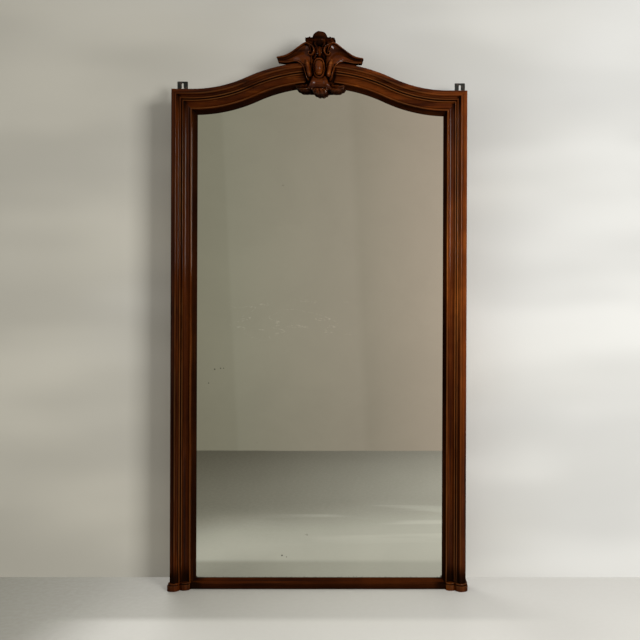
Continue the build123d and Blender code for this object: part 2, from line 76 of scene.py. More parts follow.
class Signal:
    """A number in a shader, with Python's operators."""

    def __init__(self, graph: Graph, socket: NodeSocket) -> None:
        """Wraps an output socket of a graph."""
        self.graph = graph
        self.socket = socket

    def math(self, operation: str, *others: Signal | float) -> Signal:
        """Adds one Math node.

        Args:
            operation: the node's operation.
            others: the values after this one.

        Returns:
            The node's result.
        """
        inputs = dict(enumerate((self, *others)))
        return self.graph.value("ShaderNodeMath", {"operation": operation}, inputs)

    def reflected(self, operation: str, other: float) -> Signal:
        """The same with the other value first."""
        return self.graph.value("ShaderNodeMath", {"operation": operation}, {0: other, 1: self})

    def __add__(self, other: Signal | float) -> Signal:
        """Sum."""
        return self.math("ADD", other)

    def __radd__(self, other: float) -> Signal:
        """Sum, reflected."""
        return self.reflected("ADD", other)

    def __sub__(self, other: Signal | float) -> Signal:
        """Difference."""
        return self.math("SUBTRACT", other)

    def __rsub__(self, other: float) -> Signal:
        """Difference, reflected."""
        return self.reflected("SUBTRACT", other)

    def __mul__(self, other: Signal | float) -> Signal:
        """Product."""
        return self.math("MULTIPLY", other)

    def __rmul__(self, other: float) -> Signal:
        """Product, reflected."""
        return self.reflected("MULTIPLY", other)

    def __truediv__(self, other: Signal | float) -> Signal:
        """Quotient."""
        return self.math("DIVIDE", other)

    def absolute(self) -> Signal:
        """The value without its sign."""
        return self.math("ABSOLUTE")

    def ease(self, low: float, high: float, to_low: float = 0.0, to_high: float = 1.0) -> Signal:
        """Maps a range smoothly onto another.

        Args:
            low: the value that gives to_low.
            high: the value that gives to_high.
            to_low: the result at low.
            to_high: the result at high.

        Returns:
            The mapped value, clamped at both ends.
        """
        settings = {"interpolation_type": "SMOOTHSTEP"}
        inputs = {"Value": self, "From Min": low, "From Max": high, "To Min": to_low, "To Max": to_high}
        return self.graph.value("ShaderNodeMapRange", settings, inputs)


class Graph:
    """The node tree of a material or the world, with one method that makes nodes."""

    def __init__(self, owner: Material | bpy.types.World, output: str = "ShaderNodeOutputMaterial") -> None:
        """Empties the owner's tree and adds its output.

        Args:
            owner: the material or the world.
            output: type of its output node.
        """
        owner.use_nodes = True
        self.tree = owner.node_tree
        self.tree.nodes.clear()
        self.output = self.tree.nodes.new(output)

    def node(
        self, kind: str, settings: dict[str, Any] | None = None, inputs: dict | None = None
    ) -> bpy.types.Node:
        """Makes a node.

        Args:
            kind: the node's type.
            settings: its properties; stops is a ramp's list of (place, colour).
            inputs: values, colours, sockets or signals by input name or number.

        Returns:
            The node.
        """
        node = self.tree.nodes.new(kind)
        for name, value in (settings or {}).items():
            if name == "stops":
                self.set_stops(node.color_ramp, value)
            else:
                setattr(node, name, value)
        for name, value in (inputs or {}).items():
            if isinstance(value, Signal):
                self.tree.links.new(value.socket, node.inputs[name])
            elif isinstance(value, NodeSocket):
                self.tree.links.new(value, node.inputs[name])
            else:
                node.inputs[name].default_value = value
        return node

    @staticmethod
    def set_stops(ramp: bpy.types.ColorRamp, stops: Sequence[tuple[float, Sequence[float]]]) -> None:
        """Gives a ramp its stops.

        Args:
            ramp: the ramp.
            stops: places and colours.
        """
        while len(ramp.elements) < len(stops):
            ramp.elements.new(1.0)
        for element, (place, colour) in zip(ramp.elements, stops):
            element.position = place
            element.color = (*colour, 1.0)

    def value(self, kind: str, settings: dict[str, Any], inputs: dict, output: str | int = 0) -> Signal:
        """A node's output as a signal."""
        return Signal(self, self.node(kind, settings, inputs).outputs[output])

    def place(self, scale: float | Sequence[float], shift: Sequence[float] = (0, 0, 0)) -> NodeSocket:
        """Object coordinates, stretched and shifted for a pattern.

        Args:
            scale: repeats a metre, one number or one for each axis.
            shift: shift of the pattern.

        Returns:
            The vector.
        """
        source = self.node("ShaderNodeTexCoord").outputs["Object"]
        stretch = (scale,) * 3 if isinstance(scale, float) else scale
        inputs = {"Vector": source, "Scale": stretch, "Location": shift}
        return self.node("ShaderNodeMapping", None, inputs).outputs["Vector"]

    def axis(self, index: int) -> Signal:
        """One of the Object coordinates."""
        source = self.node("ShaderNodeTexCoord").outputs["Object"]
        return self.value("ShaderNodeSeparateXYZ", {}, {"Vector": source}, index)

    def noise(self, place: NodeSocket, detail: float = 3.0, rough: float = 0.55, warp: float = 0.0) -> Signal:
        """A noise of unit scale at a place."""
        inputs = {"Vector": place, "Scale": 1.0, "Detail": detail, "Roughness": rough, "Distortion": warp}
        return self.value("ShaderNodeTexNoise", {}, inputs)

    def attribute(self, name: str) -> Signal:
        """A number stored on the mesh."""
        return self.value("ShaderNodeAttribute", {"attribute_name": name}, {}, "Fac")

    def ramp(self, factor: Signal, stops: Sequence[tuple[float, Sequence[float]]]) -> NodeSocket:
        """A colour from a ramp."""
        return self.node("ShaderNodeValToRGB", {"stops": stops}, {"Fac": factor}).outputs["Color"]

    def mix(self, factor: Signal | float, a: Any, b: Any, blend: str = "MIX") -> NodeSocket:
        """A mix of two colours, each a socket or three numbers.

        Args:
            factor: weight of the second colour.
            a: the first colour.
            b: the second colour.
            blend: how they blend.

        Returns:
            The colour.
        """
        ends = [(*c, 1.0) if isinstance(c, tuple) and len(c) == 3 else c for c in (a, b)]
        inputs = {0: factor, 6: ends[0], 7: ends[1]}
        return self.node("ShaderNodeMix", {"data_type": "RGBA", "blend_type": blend}, inputs).outputs[2]

    def tint(self, colour: NodeSocket, by: Any) -> NodeSocket:
        """A colour multiplied by another."""
        return self.mix(1.0, colour, by, "MULTIPLY")

    def bump(self, height: Signal, distance: float, strength: float = 1.0) -> NodeSocket:
        """A normal from a height."""
        inputs = {"Height": height, "Distance": distance, "Strength": strength}
        return self.node("ShaderNodeBump", None, inputs).outputs["Normal"]

    def surface(self, inputs: dict) -> None:
        """Ends the graph with a Principled shader."""
        shader = self.node("ShaderNodeBsdfPrincipled", None, inputs)
        self.finish(shader.outputs["BSDF"])

    def finish(self, shader: NodeSocket) -> None:
        """Joins a shader to the output."""
        self.tree.links.new(shader, self.output.inputs["Surface"])


# Finishes


class Grain(Enum):
    """The way that a board's grain runs."""

    ACROSS = 0
    UP = 2

    def scale(self, along: float, across: float) -> Triple:
        """Pattern scale, in repeats a metre, along the grain and across it."""
        return tuple(along if axis == self.value else across for axis in range(3))


class Look:
    """A finish that makes its own material."""

    def draw(self, g: Graph) -> None:
        """Draws the finish into a material's graph."""
        raise NotImplementedError

    def material(self, name: str) -> Material:
        """The finish's material under a name.

        Args:
            name: its name.

        Returns:
            The material.
        """
        material = bpy.data.materials.new(name)
        self.draw(Graph(material))
        return material


@dataclass(frozen=True)
class WaxedWood(Look):
    """Old walnut under dark wax: rubbed bright on its edges, dark with wax and painted shade in its quirks and
    recesses, and painted lighter on the right and higher up, where the light falls.

    Attributes:
        grain: the way that the boards run.
        deep: colour of the dark streaks.
        body: the main colour.
        light: colour of the pale streaks.
        worn: colour of rubbed edges.
        grime: colour of old wax in the pores and quirks, and of the painted shade in the recesses.
        shine: weight of the polished coat.
        seed: shift of the pattern, so that boards differ.
    """

    grain: Grain
    deep: Triple = (0.018, 0.0034, 0.0006)
    body: Triple = (0.086, 0.0182, 0.0017)
    light: Triple = (0.210, 0.057, 0.0070)
    worn: Triple = (0.165, 0.062, 0.016)
    grime: Triple = (0.0055, 0.0022, 0.0010)
    shine: float = 0.12
    seed: float = 0.0

    def draw(self, g: Graph) -> None:
        """Draws the waxed wood into a material's graph.

        Args:
            g: the graph.
        """
        shift = (self.seed, self.seed * 1.7, self.seed * 0.6)
        streak = g.noise(g.place(self.grain.scale(1.1, 46.0), shift), 5.0, 0.62, 0.35)
        flow = g.noise(g.place(self.grain.scale(1.6, 9.0), shift), 2.0, 0.5, 0.6)
        fibre = g.noise(g.place(self.grain.scale(9.0, 420.0), shift), 3.0, 0.6)
        pore = g.noise(g.place(self.grain.scale(42.0, 1300.0), shift), 2.0, 0.5)
        patch = g.noise(g.place(5.0, shift), 3.0, 0.6)
        figure = (streak * 0.62 + flow * 0.38).ease(0.34, 0.68)
        pores = pore.ease(0.56, 0.70)
        colour = g.ramp(figure, [(0.0, self.deep), (0.50, self.body), (0.72, self.body), (1.0, self.light)])
        colour = g.mix(fibre.ease(0.35, 0.75, 0.0, 0.35), colour, self.deep)
        colour = g.mix(pores * 0.55, colour, self.grime)
        colour = g.mix(patch.ease(0.35, 0.70, 0.0, 0.8), colour, g.tint(colour, (0.52, 0.42, 0.40)))
        # Painted light: the right side and the upper parts are brightened, and the left and low parts darkened,
        # as the key lamp's light falls on them.
        painted_light = g.axis(0).ease(-0.35, 0.62) * g.axis(2).ease(0.2, 0.9)
        colour = g.tint(colour, g.mix(painted_light, (0.74, 0.71, 0.68), (1.85, 1.95, 2.60)))
        rub = g.attribute("wear") * patch.ease(0.3, 0.6, 0.25, 1.0) * fibre.ease(0.2, 0.6, 0.6, 1.0)
        colour = g.mix(rub.ease(0.12, 1.0, 0.0, 0.45), colour, self.worn)
        # Dark wax in the quirks and painted shade in the recesses, both read from the stored attribute, darken
        # the colour here.
        dirt = g.attribute("grime") * (0.75 + 0.5 * patch)
        colour = g.mix(dirt.ease(0.0, 0.7, 0.0, 0.94), colour, self.grime)
        gloss = patch.ease(0.25, 0.8, 0.30, 0.44) + pores * 0.15 + dirt * 0.22 - rub * 0.05
        dent = g.noise(g.place(26.0, shift), 2.0, 0.5)
        relief = dent * 0.5 + fibre * 0.10 - pores * 0.10
        g.surface(
            {
                "Base Color": colour,
                "Roughness": gloss,
                "Normal": g.bump(relief, 0.0016, 0.55),
                "Coat Weight": dirt.ease(0.0, 0.6, self.shine, 0.0),
                "Coat Roughness": 0.10,
                "Specular IOR Level": 0.0,
            }
        )


@dataclass(frozen=True)
class PlainWood(Look):
    """Planed softwood of the back, browned by age, with knots of dust.

    Attributes:
        grain: the way that the boards run.
        pale: colour of the spring wood.
        dark: colour of the summer wood.
        dust: colour of dust in the stains.
        seed: shift of the pattern.
    """

    grain: Grain
    pale: Triple = (0.300, 0.175, 0.085)
    dark: Triple = (0.150, 0.075, 0.032)
    dust: Triple = (0.110, 0.085, 0.062)
    seed: float = 0.0

    def draw(self, g: Graph) -> None:
        """Draws the plain wood into a material's graph.

        Args:
            g: the graph.
        """
        shift = (self.seed, self.seed * 1.3, self.seed * 0.7)
        rings = g.noise(g.place(self.grain.scale(0.9, 15.0), shift), 2.0, 0.5, 0.9)
        bands = (rings * 90.0).math("SINE").ease(-1.0, 1.0)
        fibre = g.noise(g.place(self.grain.scale(8.0, 520.0), shift), 3.0, 0.6)
        stain = g.noise(g.place(3.2, shift), 4.0, 0.62)
        colour = g.mix(bands * 0.42, self.pale, self.dark)
        colour = g.mix(fibre.ease(0.4, 0.8, 0.0, 0.4), colour, self.dark)
        colour = g.mix(stain.ease(0.42, 0.75, 0.0, 0.6), colour, self.dust)
        relief = bands * 0.35 + fibre * 0.5
        g.surface(
            {
                "Base Color": colour,
                "Roughness": stain.ease(0.3, 0.8, 0.62, 0.82),
                "Normal": g.bump(relief, 0.0008, 0.6),
                "Specular IOR Level": 0.35,
            }
        )


@dataclass(frozen=True)
class OldSilver(Look):
    """Old silvered glass: a dull grey mirror, foxed in spots and dark along its foot.

    Attributes:
        foot: height of the glass's visible foot.
        half_width: half the width that shows between the stiles.
        silver: colour of the sound silvering.
        tarnish: colour of failed silvering.
        pits: places across and up of lone spots, with their radii.
    """

    foot: float = 0.039
    half_width: float = 0.496
    silver: Triple = (0.66, 0.67, 0.60)
    tarnish: Triple = (0.045, 0.040, 0.032)
    pits: tuple[Triple, ...] = (
        (-0.424, 0.880, 0.0035),
        (-0.400, 0.884, 0.0028),
        (-0.388, 0.884, 0.0024),
        (-0.448, 0.824, 0.0026),
        (-0.150, 0.128, 0.0040),
        (-0.132, 0.122, 0.0024),
    )

    def draw(self, g: Graph) -> None:
        """Draws the silvered glass into a material's graph.

        Args:
            g: the graph.
        """
        cloud = g.noise(g.place(3.0), 4.0, 0.6, 0.4)
        fleck = g.noise(g.place(95.0), 4.0, 0.7)
        speck = g.noise(g.place(30.0, (4.0, 0, 2.0)), 2.0, 0.5)
        low = (g.axis(2) - self.foot).ease(0.0, 0.016, 0.9, 0.0)
        side = (self.half_width - g.axis(0).absolute()).ease(0.0, 0.012, 0.6, 0.0)
        rot = (low + side) * 0.42 + fleck * 0.62
        foxed = rot.ease(0.60, 0.86, 0.0, 0.85)
        spots = speck.ease(0.755, 0.80) * cloud.ease(0.45, 0.6)
        for x, z, radius in self.pits:
            pit = (g.axis(0) - x) * (g.axis(0) - x) + (g.axis(2) - z) * (g.axis(2) - z)
            spots = spots + (pit * (1 / radius**2) + fleck * 0.8).ease(0.7, 1.5, 0.9, 0.0)
        thread = g.noise(g.place((3.4, 3.4, 9.0), (0, 0, 0.7)), 3.0, 0.6, 0.5) - 0.5
        wisp = thread.absolute().ease(0.0, 0.012, 1.0, 0.0) * fleck.ease(0.45, 0.6)
        wisp = wisp * g.axis(0).ease(-0.40, -0.30) * g.axis(0).ease(0.08, 0.16, 1.0, 0.0)
        wisp = wisp * g.axis(2).ease(0.98, 1.04) * g.axis(2).ease(1.12, 1.18, 1.0, 0.0)
        veil = g.noise(g.place((2.2, 2.2, 5.0), (1.0, 0, 0.4)), 5.0, 0.7, 0.8).ease(0.60, 0.76)
        colour = g.mix(cloud.ease(0.3, 0.7), self.silver, tuple(0.955 * c for c in self.silver))
        colour = g.mix((foxed + spots * 0.8).ease(0.0, 1.0), colour, self.tarnish)
        colour = g.mix(wisp * 0.5, colour, (0.95, 0.95, 0.90))
        wave = g.noise(g.place(1.6), 2.0, 0.5)
        g.surface(
            {
                "Base Color": colour,
                "Metallic": 1.0,
                "Roughness": 0.015 + veil * 0.02 + foxed * 0.35 + spots * 0.2,
                "Normal": g.bump(wave, 0.0008, 0.35),
            }
        )


@dataclass(frozen=True)
class BlackIron(Look):
    """Blackened wrought iron with brown rust in its pits.

    Attributes:
        scale: colour of the black scale.
        rust: colour of the rust.
    """

    scale: Triple = (0.016, 0.017, 0.014)
    rust: Triple = (0.050, 0.024, 0.012)

    def draw(self, g: Graph) -> None:
        """Draws the iron into a material's graph.

        Args:
            g: the graph.
        """
        pits = g.noise(g.place(420.0), 4.0, 0.65)
        bloom = g.noise(g.place(70.0), 4.0, 0.6)
        rust = bloom.ease(0.5, 0.7) * 0.7
        g.surface(
            {
                "Base Color": g.mix(rust, self.scale, self.rust),
                "Metallic": 0.75 - rust * 0.9,
                "Roughness": bloom.ease(0.3, 0.7, 0.42, 0.72),
                "Normal": g.bump(pits * 0.6 + bloom, 0.0006, 0.6),
            }
        )


@dataclass(frozen=True)
class ScrewSteel(Look):
    """Dull turned steel of old wood screws.

    Attributes:
        steel: colour of the metal.
        brown: colour of its tarnish.
    """

    steel: Triple = (0.30, 0.28, 0.25)
    brown: Triple = (0.090, 0.055, 0.032)

    def draw(self, g: Graph) -> None:
        """Draws the steel into a material's graph.

        Args:
            g: the graph.
        """
        stain = g.noise(g.place(260.0), 4.0, 0.6)
        mark = stain.ease(0.4, 0.65)
        g.surface(
            {
                "Base Color": g.mix(mark, self.steel, self.brown),
                "Metallic": 1.0 - mark * 0.4,
                "Roughness": stain.ease(0.3, 0.7, 0.35, 0.6),
                "Normal": g.bump(stain, 0.0003, 0.5),
            }
        )


@dataclass(frozen=True)
class Finish:
    """A material and the record's slot that it belongs to.

    Attributes:
        material: the material.
        slot: the slot's name; not used.
    """

    material: Material
    slot: str


# Mesh kit


def settle(
    bm: BMesh,
    name: str,
    finish: Finish,
    nodes: Sequence[str],
    sharp: float = 40.0,
    dirt: Callable[[Vector], float] | None = None,
) -> Object:
    """Turns a bmesh in millimetres into a finished piece that rides on the part.

    Args:
        bm: the mesh, which is freed.
        name: the piece's name.
        finish: its material and slot.
        nodes: the CAD nodes that it stands for.
        sharp: the angle in degrees past which an edge stays sharp.
        darkening: how dark a place is by itself, from dark wax and, on the crest, from painted shade, from 0 to
            1.

    Returns:
        The piece.
    """
    bmesh.ops.scale(bm, vec=(MM, MM, MM), verts=bm.verts)
    bmesh.ops.remove_doubles(bm, verts=bm.verts, dist=1e-6)
    bmesh.ops.recalc_face_normals(bm, faces=bm.faces)
    mesh = bpy.data.meshes.new(name)
    bm.to_mesh(mesh)
    bm.free()
    mesh.polygons.foreach_set("use_smooth", [True] * len(mesh.polygons))
    mesh.set_sharp_from_angle(angle=math.radians(sharp))
    weather(mesh, dirt)
    mesh.materials.append(finish.material)
    piece = bpy.data.objects.new(name, mesh)
    bpy.context.scene.collection.objects.link(piece)
    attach(piece, ROOT)
    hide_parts(*nodes)
    log.info("%s: %d faces for %s", name, len(mesh.polygons), ", ".join(nodes))
    return piece


def weather(
    mesh: bpy.types.Mesh, dirt: Callable[[Vector], float] | None, reach: float = 0.0035, passes: int = 3
) -> None:
    """Stores how far each vertex stands out, which wears, or lies in, which gathers dark wax, together with the
    piece's own darkening, which on the crest is painted shade.

    Args:
        mesh: the mesh, in metres.
        darkening: how dark a place is by itself, from 0 to 1.
        reach: the radius in metres of a curve that counts as fully worn or grimy.
        passes: how often the values are blended with their neighbours'.
    """
    count = len(mesh.vertices)
    places = np.zeros(count * 3)
    mesh.vertices.foreach_get("co", places)
    places = places.reshape(-1, 3)
    normals = np.zeros(count * 3)
    mesh.vertex_normals.foreach_get("vector", normals)
    normals = normals.reshape(-1, 3)
    ends = np.zeros(len(mesh.edges) * 2, int)
    mesh.edges.foreach_get("vertices", ends)
    a, b = ends.reshape(-1, 2).T
    step = places[b] - places[a]
    span = np.maximum((step**2).sum(1), 1e-9)
    bend = np.bincount(a, -2 * (normals[a] * step).sum(1) / span, count)
    bend += np.bincount(b, 2 * (normals[b] * step).sum(1) / span, count)
    links = np.maximum(np.bincount(a, minlength=count) + np.bincount(b, minlength=count), 1)
    bend = np.clip(bend / links * reach, -1, 1)
    for _ in range(passes):
        around = np.bincount(a, bend[b], count) + np.bincount(b, bend[a], count)
        bend = 0.5 * bend + 0.5 * around / links
    own = np.array([dirt(Vector(place)) for place in places]) if dirt else 0.0
    layers = {"wear": np.clip(bend - own, 0, 1), "grime": np.clip(np.maximum(-bend, own), 0, 1)}
    for name, values in layers.items():
        layer = mesh.attributes.new(name, "FLOAT", "POINT")
        layer.data.foreach_set("value", values.astype(np.float32))


def soot(
    pieces: Sequence[Object],
    reach: float = 0.040,
    count: int = 30,
    start_shut: float = 0.25,
    span_shut: float = 0.42,
    lift: float = 0.0007,
    grazing: float = 0.15,
    most: float = 0.95,
) -> None:
    """Stores painted shade, with some dark wax, where little light and no cloth reaches, from rays cast among
    the pieces.

    Args:
        pieces: the carved pieces, which shade one another.
        reach: how far away in metres a surface still shades a place.
        count: how many ways the rays run.
        start_shut: the share of a place's sight that may be shut before it darkens.
        span_shut: how much more of it is shut where it is darkest.
        lift: how far in metres a ray starts off the surface.
        grazing: how straight a ray must leave the surface to count.
        most: the darkening of the darkest places.
    """
    corners, faces = [], []
    for piece in pieces:
        first = len(corners)
        corners += [vert.co.copy() for vert in piece.data.vertices]
        faces += [[first + i for i in face.vertices] for face in piece.data.polygons]
    tree = BVHTree.FromPolygons(corners, faces)
    rays = []
    for k in range(count):
        rise = 1 - 2 * (k + 0.5) / count
        wide = math.sqrt(1 - rise**2)
        turn = math.pi * (3 - math.sqrt(5)) * k
        rays.append(Vector((wide * math.cos(turn), wide * math.sin(turn), rise)))
    for piece in pieces:
        grime, wear = (piece.data.attributes[name].data for name in ("grime", "wear"))
        for i, vert in enumerate(piece.data.vertices):
            start = vert.co + vert.normal * lift
            shut = whole = 1e-6
            for ray in rays:
                facing = ray.dot(vert.normal)
                if facing > grazing:
                    whole += facing
                    gap = tree.ray_cast(start, ray, reach)[3]
                    shut += 0.0 if gap is None else facing * (1 - gap / reach)
            # Painted shade: the more of a place's sight is shut, the darker it is stored.
            dark = ease((shut / whole - start_shut) / span_shut)
            grime[i].value = max(grime[i].value, most * dark)
            wear[i].value *= 1 - dark
    log.info("shaded %d corners", len(corners))


def kept(items: Sequence[Any], kind: type) -> list:
    """The items of one kind."""
    return [item for item in items if isinstance(item, kind)]


def ring_of(bm: BMesh, points: Sequence[Vector]) -> tuple[list, list]:
    """Draws a closed loop.

    Args:
        bm: the mesh.
        points: the loop's points.

    Returns:
        Its vertices and its edges.
    """
    verts = [bm.verts.new(point) for point in points]
    return verts, [bm.edges.new(pair) for pair in zip(verts, verts[1:] + verts[:1])]


def loft(bm: BMesh, rings: Sequence[Sequence[Vector]]) -> None:
    """Extrudes a closed loop from ring to ring and closes both ends.

    Args:
        bm: the mesh.
        rings: loops with the same number of points.
    """
    verts, edges = ring_of(bm, rings[0])
    first = edges
    for ring in rings[1:]:
        grown = set(kept(bmesh.ops.extrude_edge_only(bm, edges=edges)["geom"], BMVert))
        verts = [next(e.other_vert(v) for e in v.link_edges if e.other_vert(v) in grown) for v in verts]
        for vert, point in zip(verts, ring):
            vert.co = point
        edges = [bm.edges.get(pair) for pair in zip(verts, verts[1:] + verts[:1])]
    for end in (first, edges):
        bmesh.ops.contextual_create(bm, geom=end)


def board(bm: BMesh, outline: Sequence[Vector], along: Triple, rounding: float) -> None:
    """Extrudes a closed outline into a board and rounds the arris at its far end.

    Args:
        bm: the mesh.
        outline: the outline of its near end.
        along: from its near end to its far end.
        rounding: reach of the rounding.
    """
    face = bmesh.ops.contextual_create(bm, geom=ring_of(bm, outline)[1])["faces"]
    raised = bmesh.ops.extrude_face_region(bm, geom=face)["geom"]
    bmesh.ops.translate(bm, vec=along, verts=kept(raised, BMVert))
    rims = list({edge for far in kept(raised, BMFace) for edge in far.edges})
    bmesh.ops.bevel(bm, geom=rims, offset=rounding, segments=4, profile=0.5, material=-1, affect="EDGES")


def flow(knots: Sequence[Sequence[float]], count: int) -> np.ndarray:
    """Smooth points through a table of knots.

    Args:
        knots: rows of numbers, all of one length.
        count: how many points.

    Returns:
        An array with one row for each point, on a Catmull-Rom curve.
    """
    table = np.array(knots, float)
    table = np.vstack([2 * table[0] - table[1], table, 2 * table[-1] - table[-2]])
    spots = np.linspace(0, len(knots) - 1 - 1e-9, count)
    rows = []
    for spot in spots:
        i = int(spot)
        t = spot - i
        a, b, c, d = table[i : i + 4]
        rows.append(b + 0.5 * t * (c - a + t * (2 * a - 5 * b + 4 * c - d + t * (3 * (b - c) + d - a))))
    return np.array(rows)


def ease(value: float) -> float:
    """Smooth step between 0 and 1."""
    value = min(max(value, 0.0), 1.0)
    return value * value * (3 - 2 * value)


def oval(turn: float, power: float) -> float:
    """Radius at an angle of an oval of unit size, squarer than a circle where power is above 2."""
    return (abs(math.cos(turn)) ** power + abs(math.sin(turn)) ** power) ** (-1 / power)


def arc(start: Pair, middle: Pair, end: Pair, count: int) -> list[Pair]:
    """Points on the circle through three points, after the first and up to the last.

    Args:
        start: where the arc starts.
        middle: a point that it passes.
        end: where it ends.
        count: how many points.

    Returns:
        The points.
    """
    a, b, c = (complex(*p) for p in (start, middle, end))
    w = (c - a) / (b - a)
    centre = a + (b - a) * (w - abs(w) ** 2) / (2j * w.imag)
    half = np.angle((b - centre) / (a - centre))
    turn = half + np.angle((c - centre) / (b - centre))
    spots = [centre + (a - centre) * np.exp(1j * turn * i / count) for i in range(1, count + 1)]
    return [(spot.real, spot.imag) for spot in spots]


def soften(points: Sequence[Pair], radius: float, least: float = 24.0) -> list[Pair]:
    """Rounds the corners of a closed outline.

    Args:
        points: the outline.
        radius: how far from a corner its round starts.
        least: the turn in degrees below which a corner stays.

    Returns:
        The outline with three points in place of each rounded corner.
    """
    result = []
    count = len(points)
    for i, corner in enumerate(points):
        here = np.array(corner)
        before = np.array(points[i - 1]) - here
        after = np.array(points[(i + 1) % count]) - here
        spans = np.linalg.norm(before), np.linalg.norm(after)
        turn = 180 - math.degrees(math.acos(np.clip(before @ after / (spans[0] * spans[1]), -1, 1)))
        if turn < least:
            result.append(corner)
            continue
        reach = min(radius, 0.45 * spans[0], 0.45 * spans[1])
        start, end = here + before / spans[0] * reach, here + after / spans[1] * reach
        result += [tuple(start), tuple(0.25 * start + 0.5 * here + 0.25 * end), tuple(end)]
    return result


# Frame


@dataclass
class Moulding:
    """The moulded section of the frame and the line that its outer edge follows.

    Attributes:
        half_width: half the width over the stiles.
        corner: height of the top corners.
        rise: rise of the arch above them.
        flat: level length of the top rail at a corner.
        knee: radius of the hollow knee.
        seat: depth in front of the back plane of the face that the glass rests against.
        middle: depth of the plane that the origin lies in.
        softness: reach of the rounding at an arris.
        back: how far behind the glass's face the wood's back lies, just short of the plates' faces.
        slot_half: half the length across the top rail that is cut away for the crest.
        slot_height: height of what is left there.
    """

    half_width: float = 592.0
    corner: float = 2003.0
    rise: float = 112.0
    flat: float = 81.0
    knee: float = 520.0
    seat: float = 24.0
    middle: float = 54.0
    softness: float = 0.9
    back: float = 23.85
    slot_half: float = 58.2
    slot_height: float = 20.0

    @property
    def knee_x(self) -> float:
        """Where the knee starts."""
        return self.half_width - self.flat

    @property
    def turn(self) -> float:
        """Angle of the knee."""
        return 2 * math.atan(self.rise / self.knee_x)

    @property
    def hump(self) -> float:
        """Radius of the arch."""
        return self.knee_x / math.sin(self.turn) - self.knee

    @property
    def crown(self) -> float:
        """Height of the arch's top."""
        return self.corner + self.rise

    def arch(self, x: float, inset: float) -> float:
        """Height of the arch's line at a place across.

        Args:
            x: the place across.
            inset: how far the line runs inside the outer edge.

        Returns:
            The height.
        """
        turn = self.knee_x - (self.knee + inset) * math.sin(self.turn)
        if abs(x) >= self.knee_x:
            return self.corner - inset
        if abs(x) >= turn:
            return self.corner + self.knee - math.sqrt((self.knee + inset) ** 2 - (self.knee_x - abs(x)) ** 2)
        return self.crown - self.hump + math.sqrt((self.hump - inset) ** 2 - x**2)

    def inset(self, place: Vector) -> float:
        """How far inside the frame's outer edge a place lies, in millimetres from metres.

        Args:
            place: the place, in metres.

        Returns:
            The inset.
        """
        x, z = abs(place.x) / MM, place.z / MM
        side = self.half_width - x
        if z < self.corner - side:
            return side
        if x > self.knee_x:
            return self.corner - z
        drop = self.corner + self.knee - z
        if x > self.knee_x - drop * math.tan(self.turn):
            return math.hypot(self.knee_x - x, drop) - self.knee
        return self.hump - math.hypot(x, z - self.crown + self.hump)

    def dirt(self, place: Vector) -> float:
        """Old wax that was never rubbed off the slope beside the glass."""
        return 0.55 * ease((self.inset(place) - 79.5) / 2.5)

    def band_dirt(self, place: Vector) -> float:
        """Old wax on the bottom rail, most of it low on its front."""
        return 0.20 + 0.30 * ease((24.0 - place.z / MM) / 3.0)

    def slope(self) -> list[Pair]:
        """The inner members: the slope, the lip and both rebates, down to the back."""
        run = [(80, 28)] + arc((80, 28), (86, 14), (96, 4), 7)
        return run + [(96, 0), (86, 0), (86, -12), (66, -12), (66, -self.back)]

    def section(self) -> list[Pair]:
        """The full section as a closed outline of (inset, height) points.

        Returns:
            The outline.
        """
        run = [(0, -self.back), (0, 30)] + arc((0, 30), (5.2, 45.5), (19, 54), 8)
        run += arc((19, 54), (23, 57), (27, 53), 6) + arc((27, 53), (29, 45.5), (35, 42), 6)
        run += arc((35, 42), (37.5, 43.5), (40, 39), 5) + [(42, 33), (44, 35)]
        run += arc((44, 35), (46.5, 38), (49, 35), 5) + [(49, 32)]
        run += arc((49, 32), (62, 23), (75, 29), 9) + [(75, 30), (80, 30)]
        return soften(run + self.slope(), self.softness)

    def band(self) -> list[Pair]:
        """The bottom rail's section: a flat band with the same slope."""
        return soften([(59, -self.back), (59, 30), (80, 30)] + self.slope(), self.softness)

    def at(self, x: float, height: float, z: float) -> Vector:
        """A point from its place across, its height on the moulding and its height above the floor."""
        return Vector((x, self.middle - self.seat - height, z))


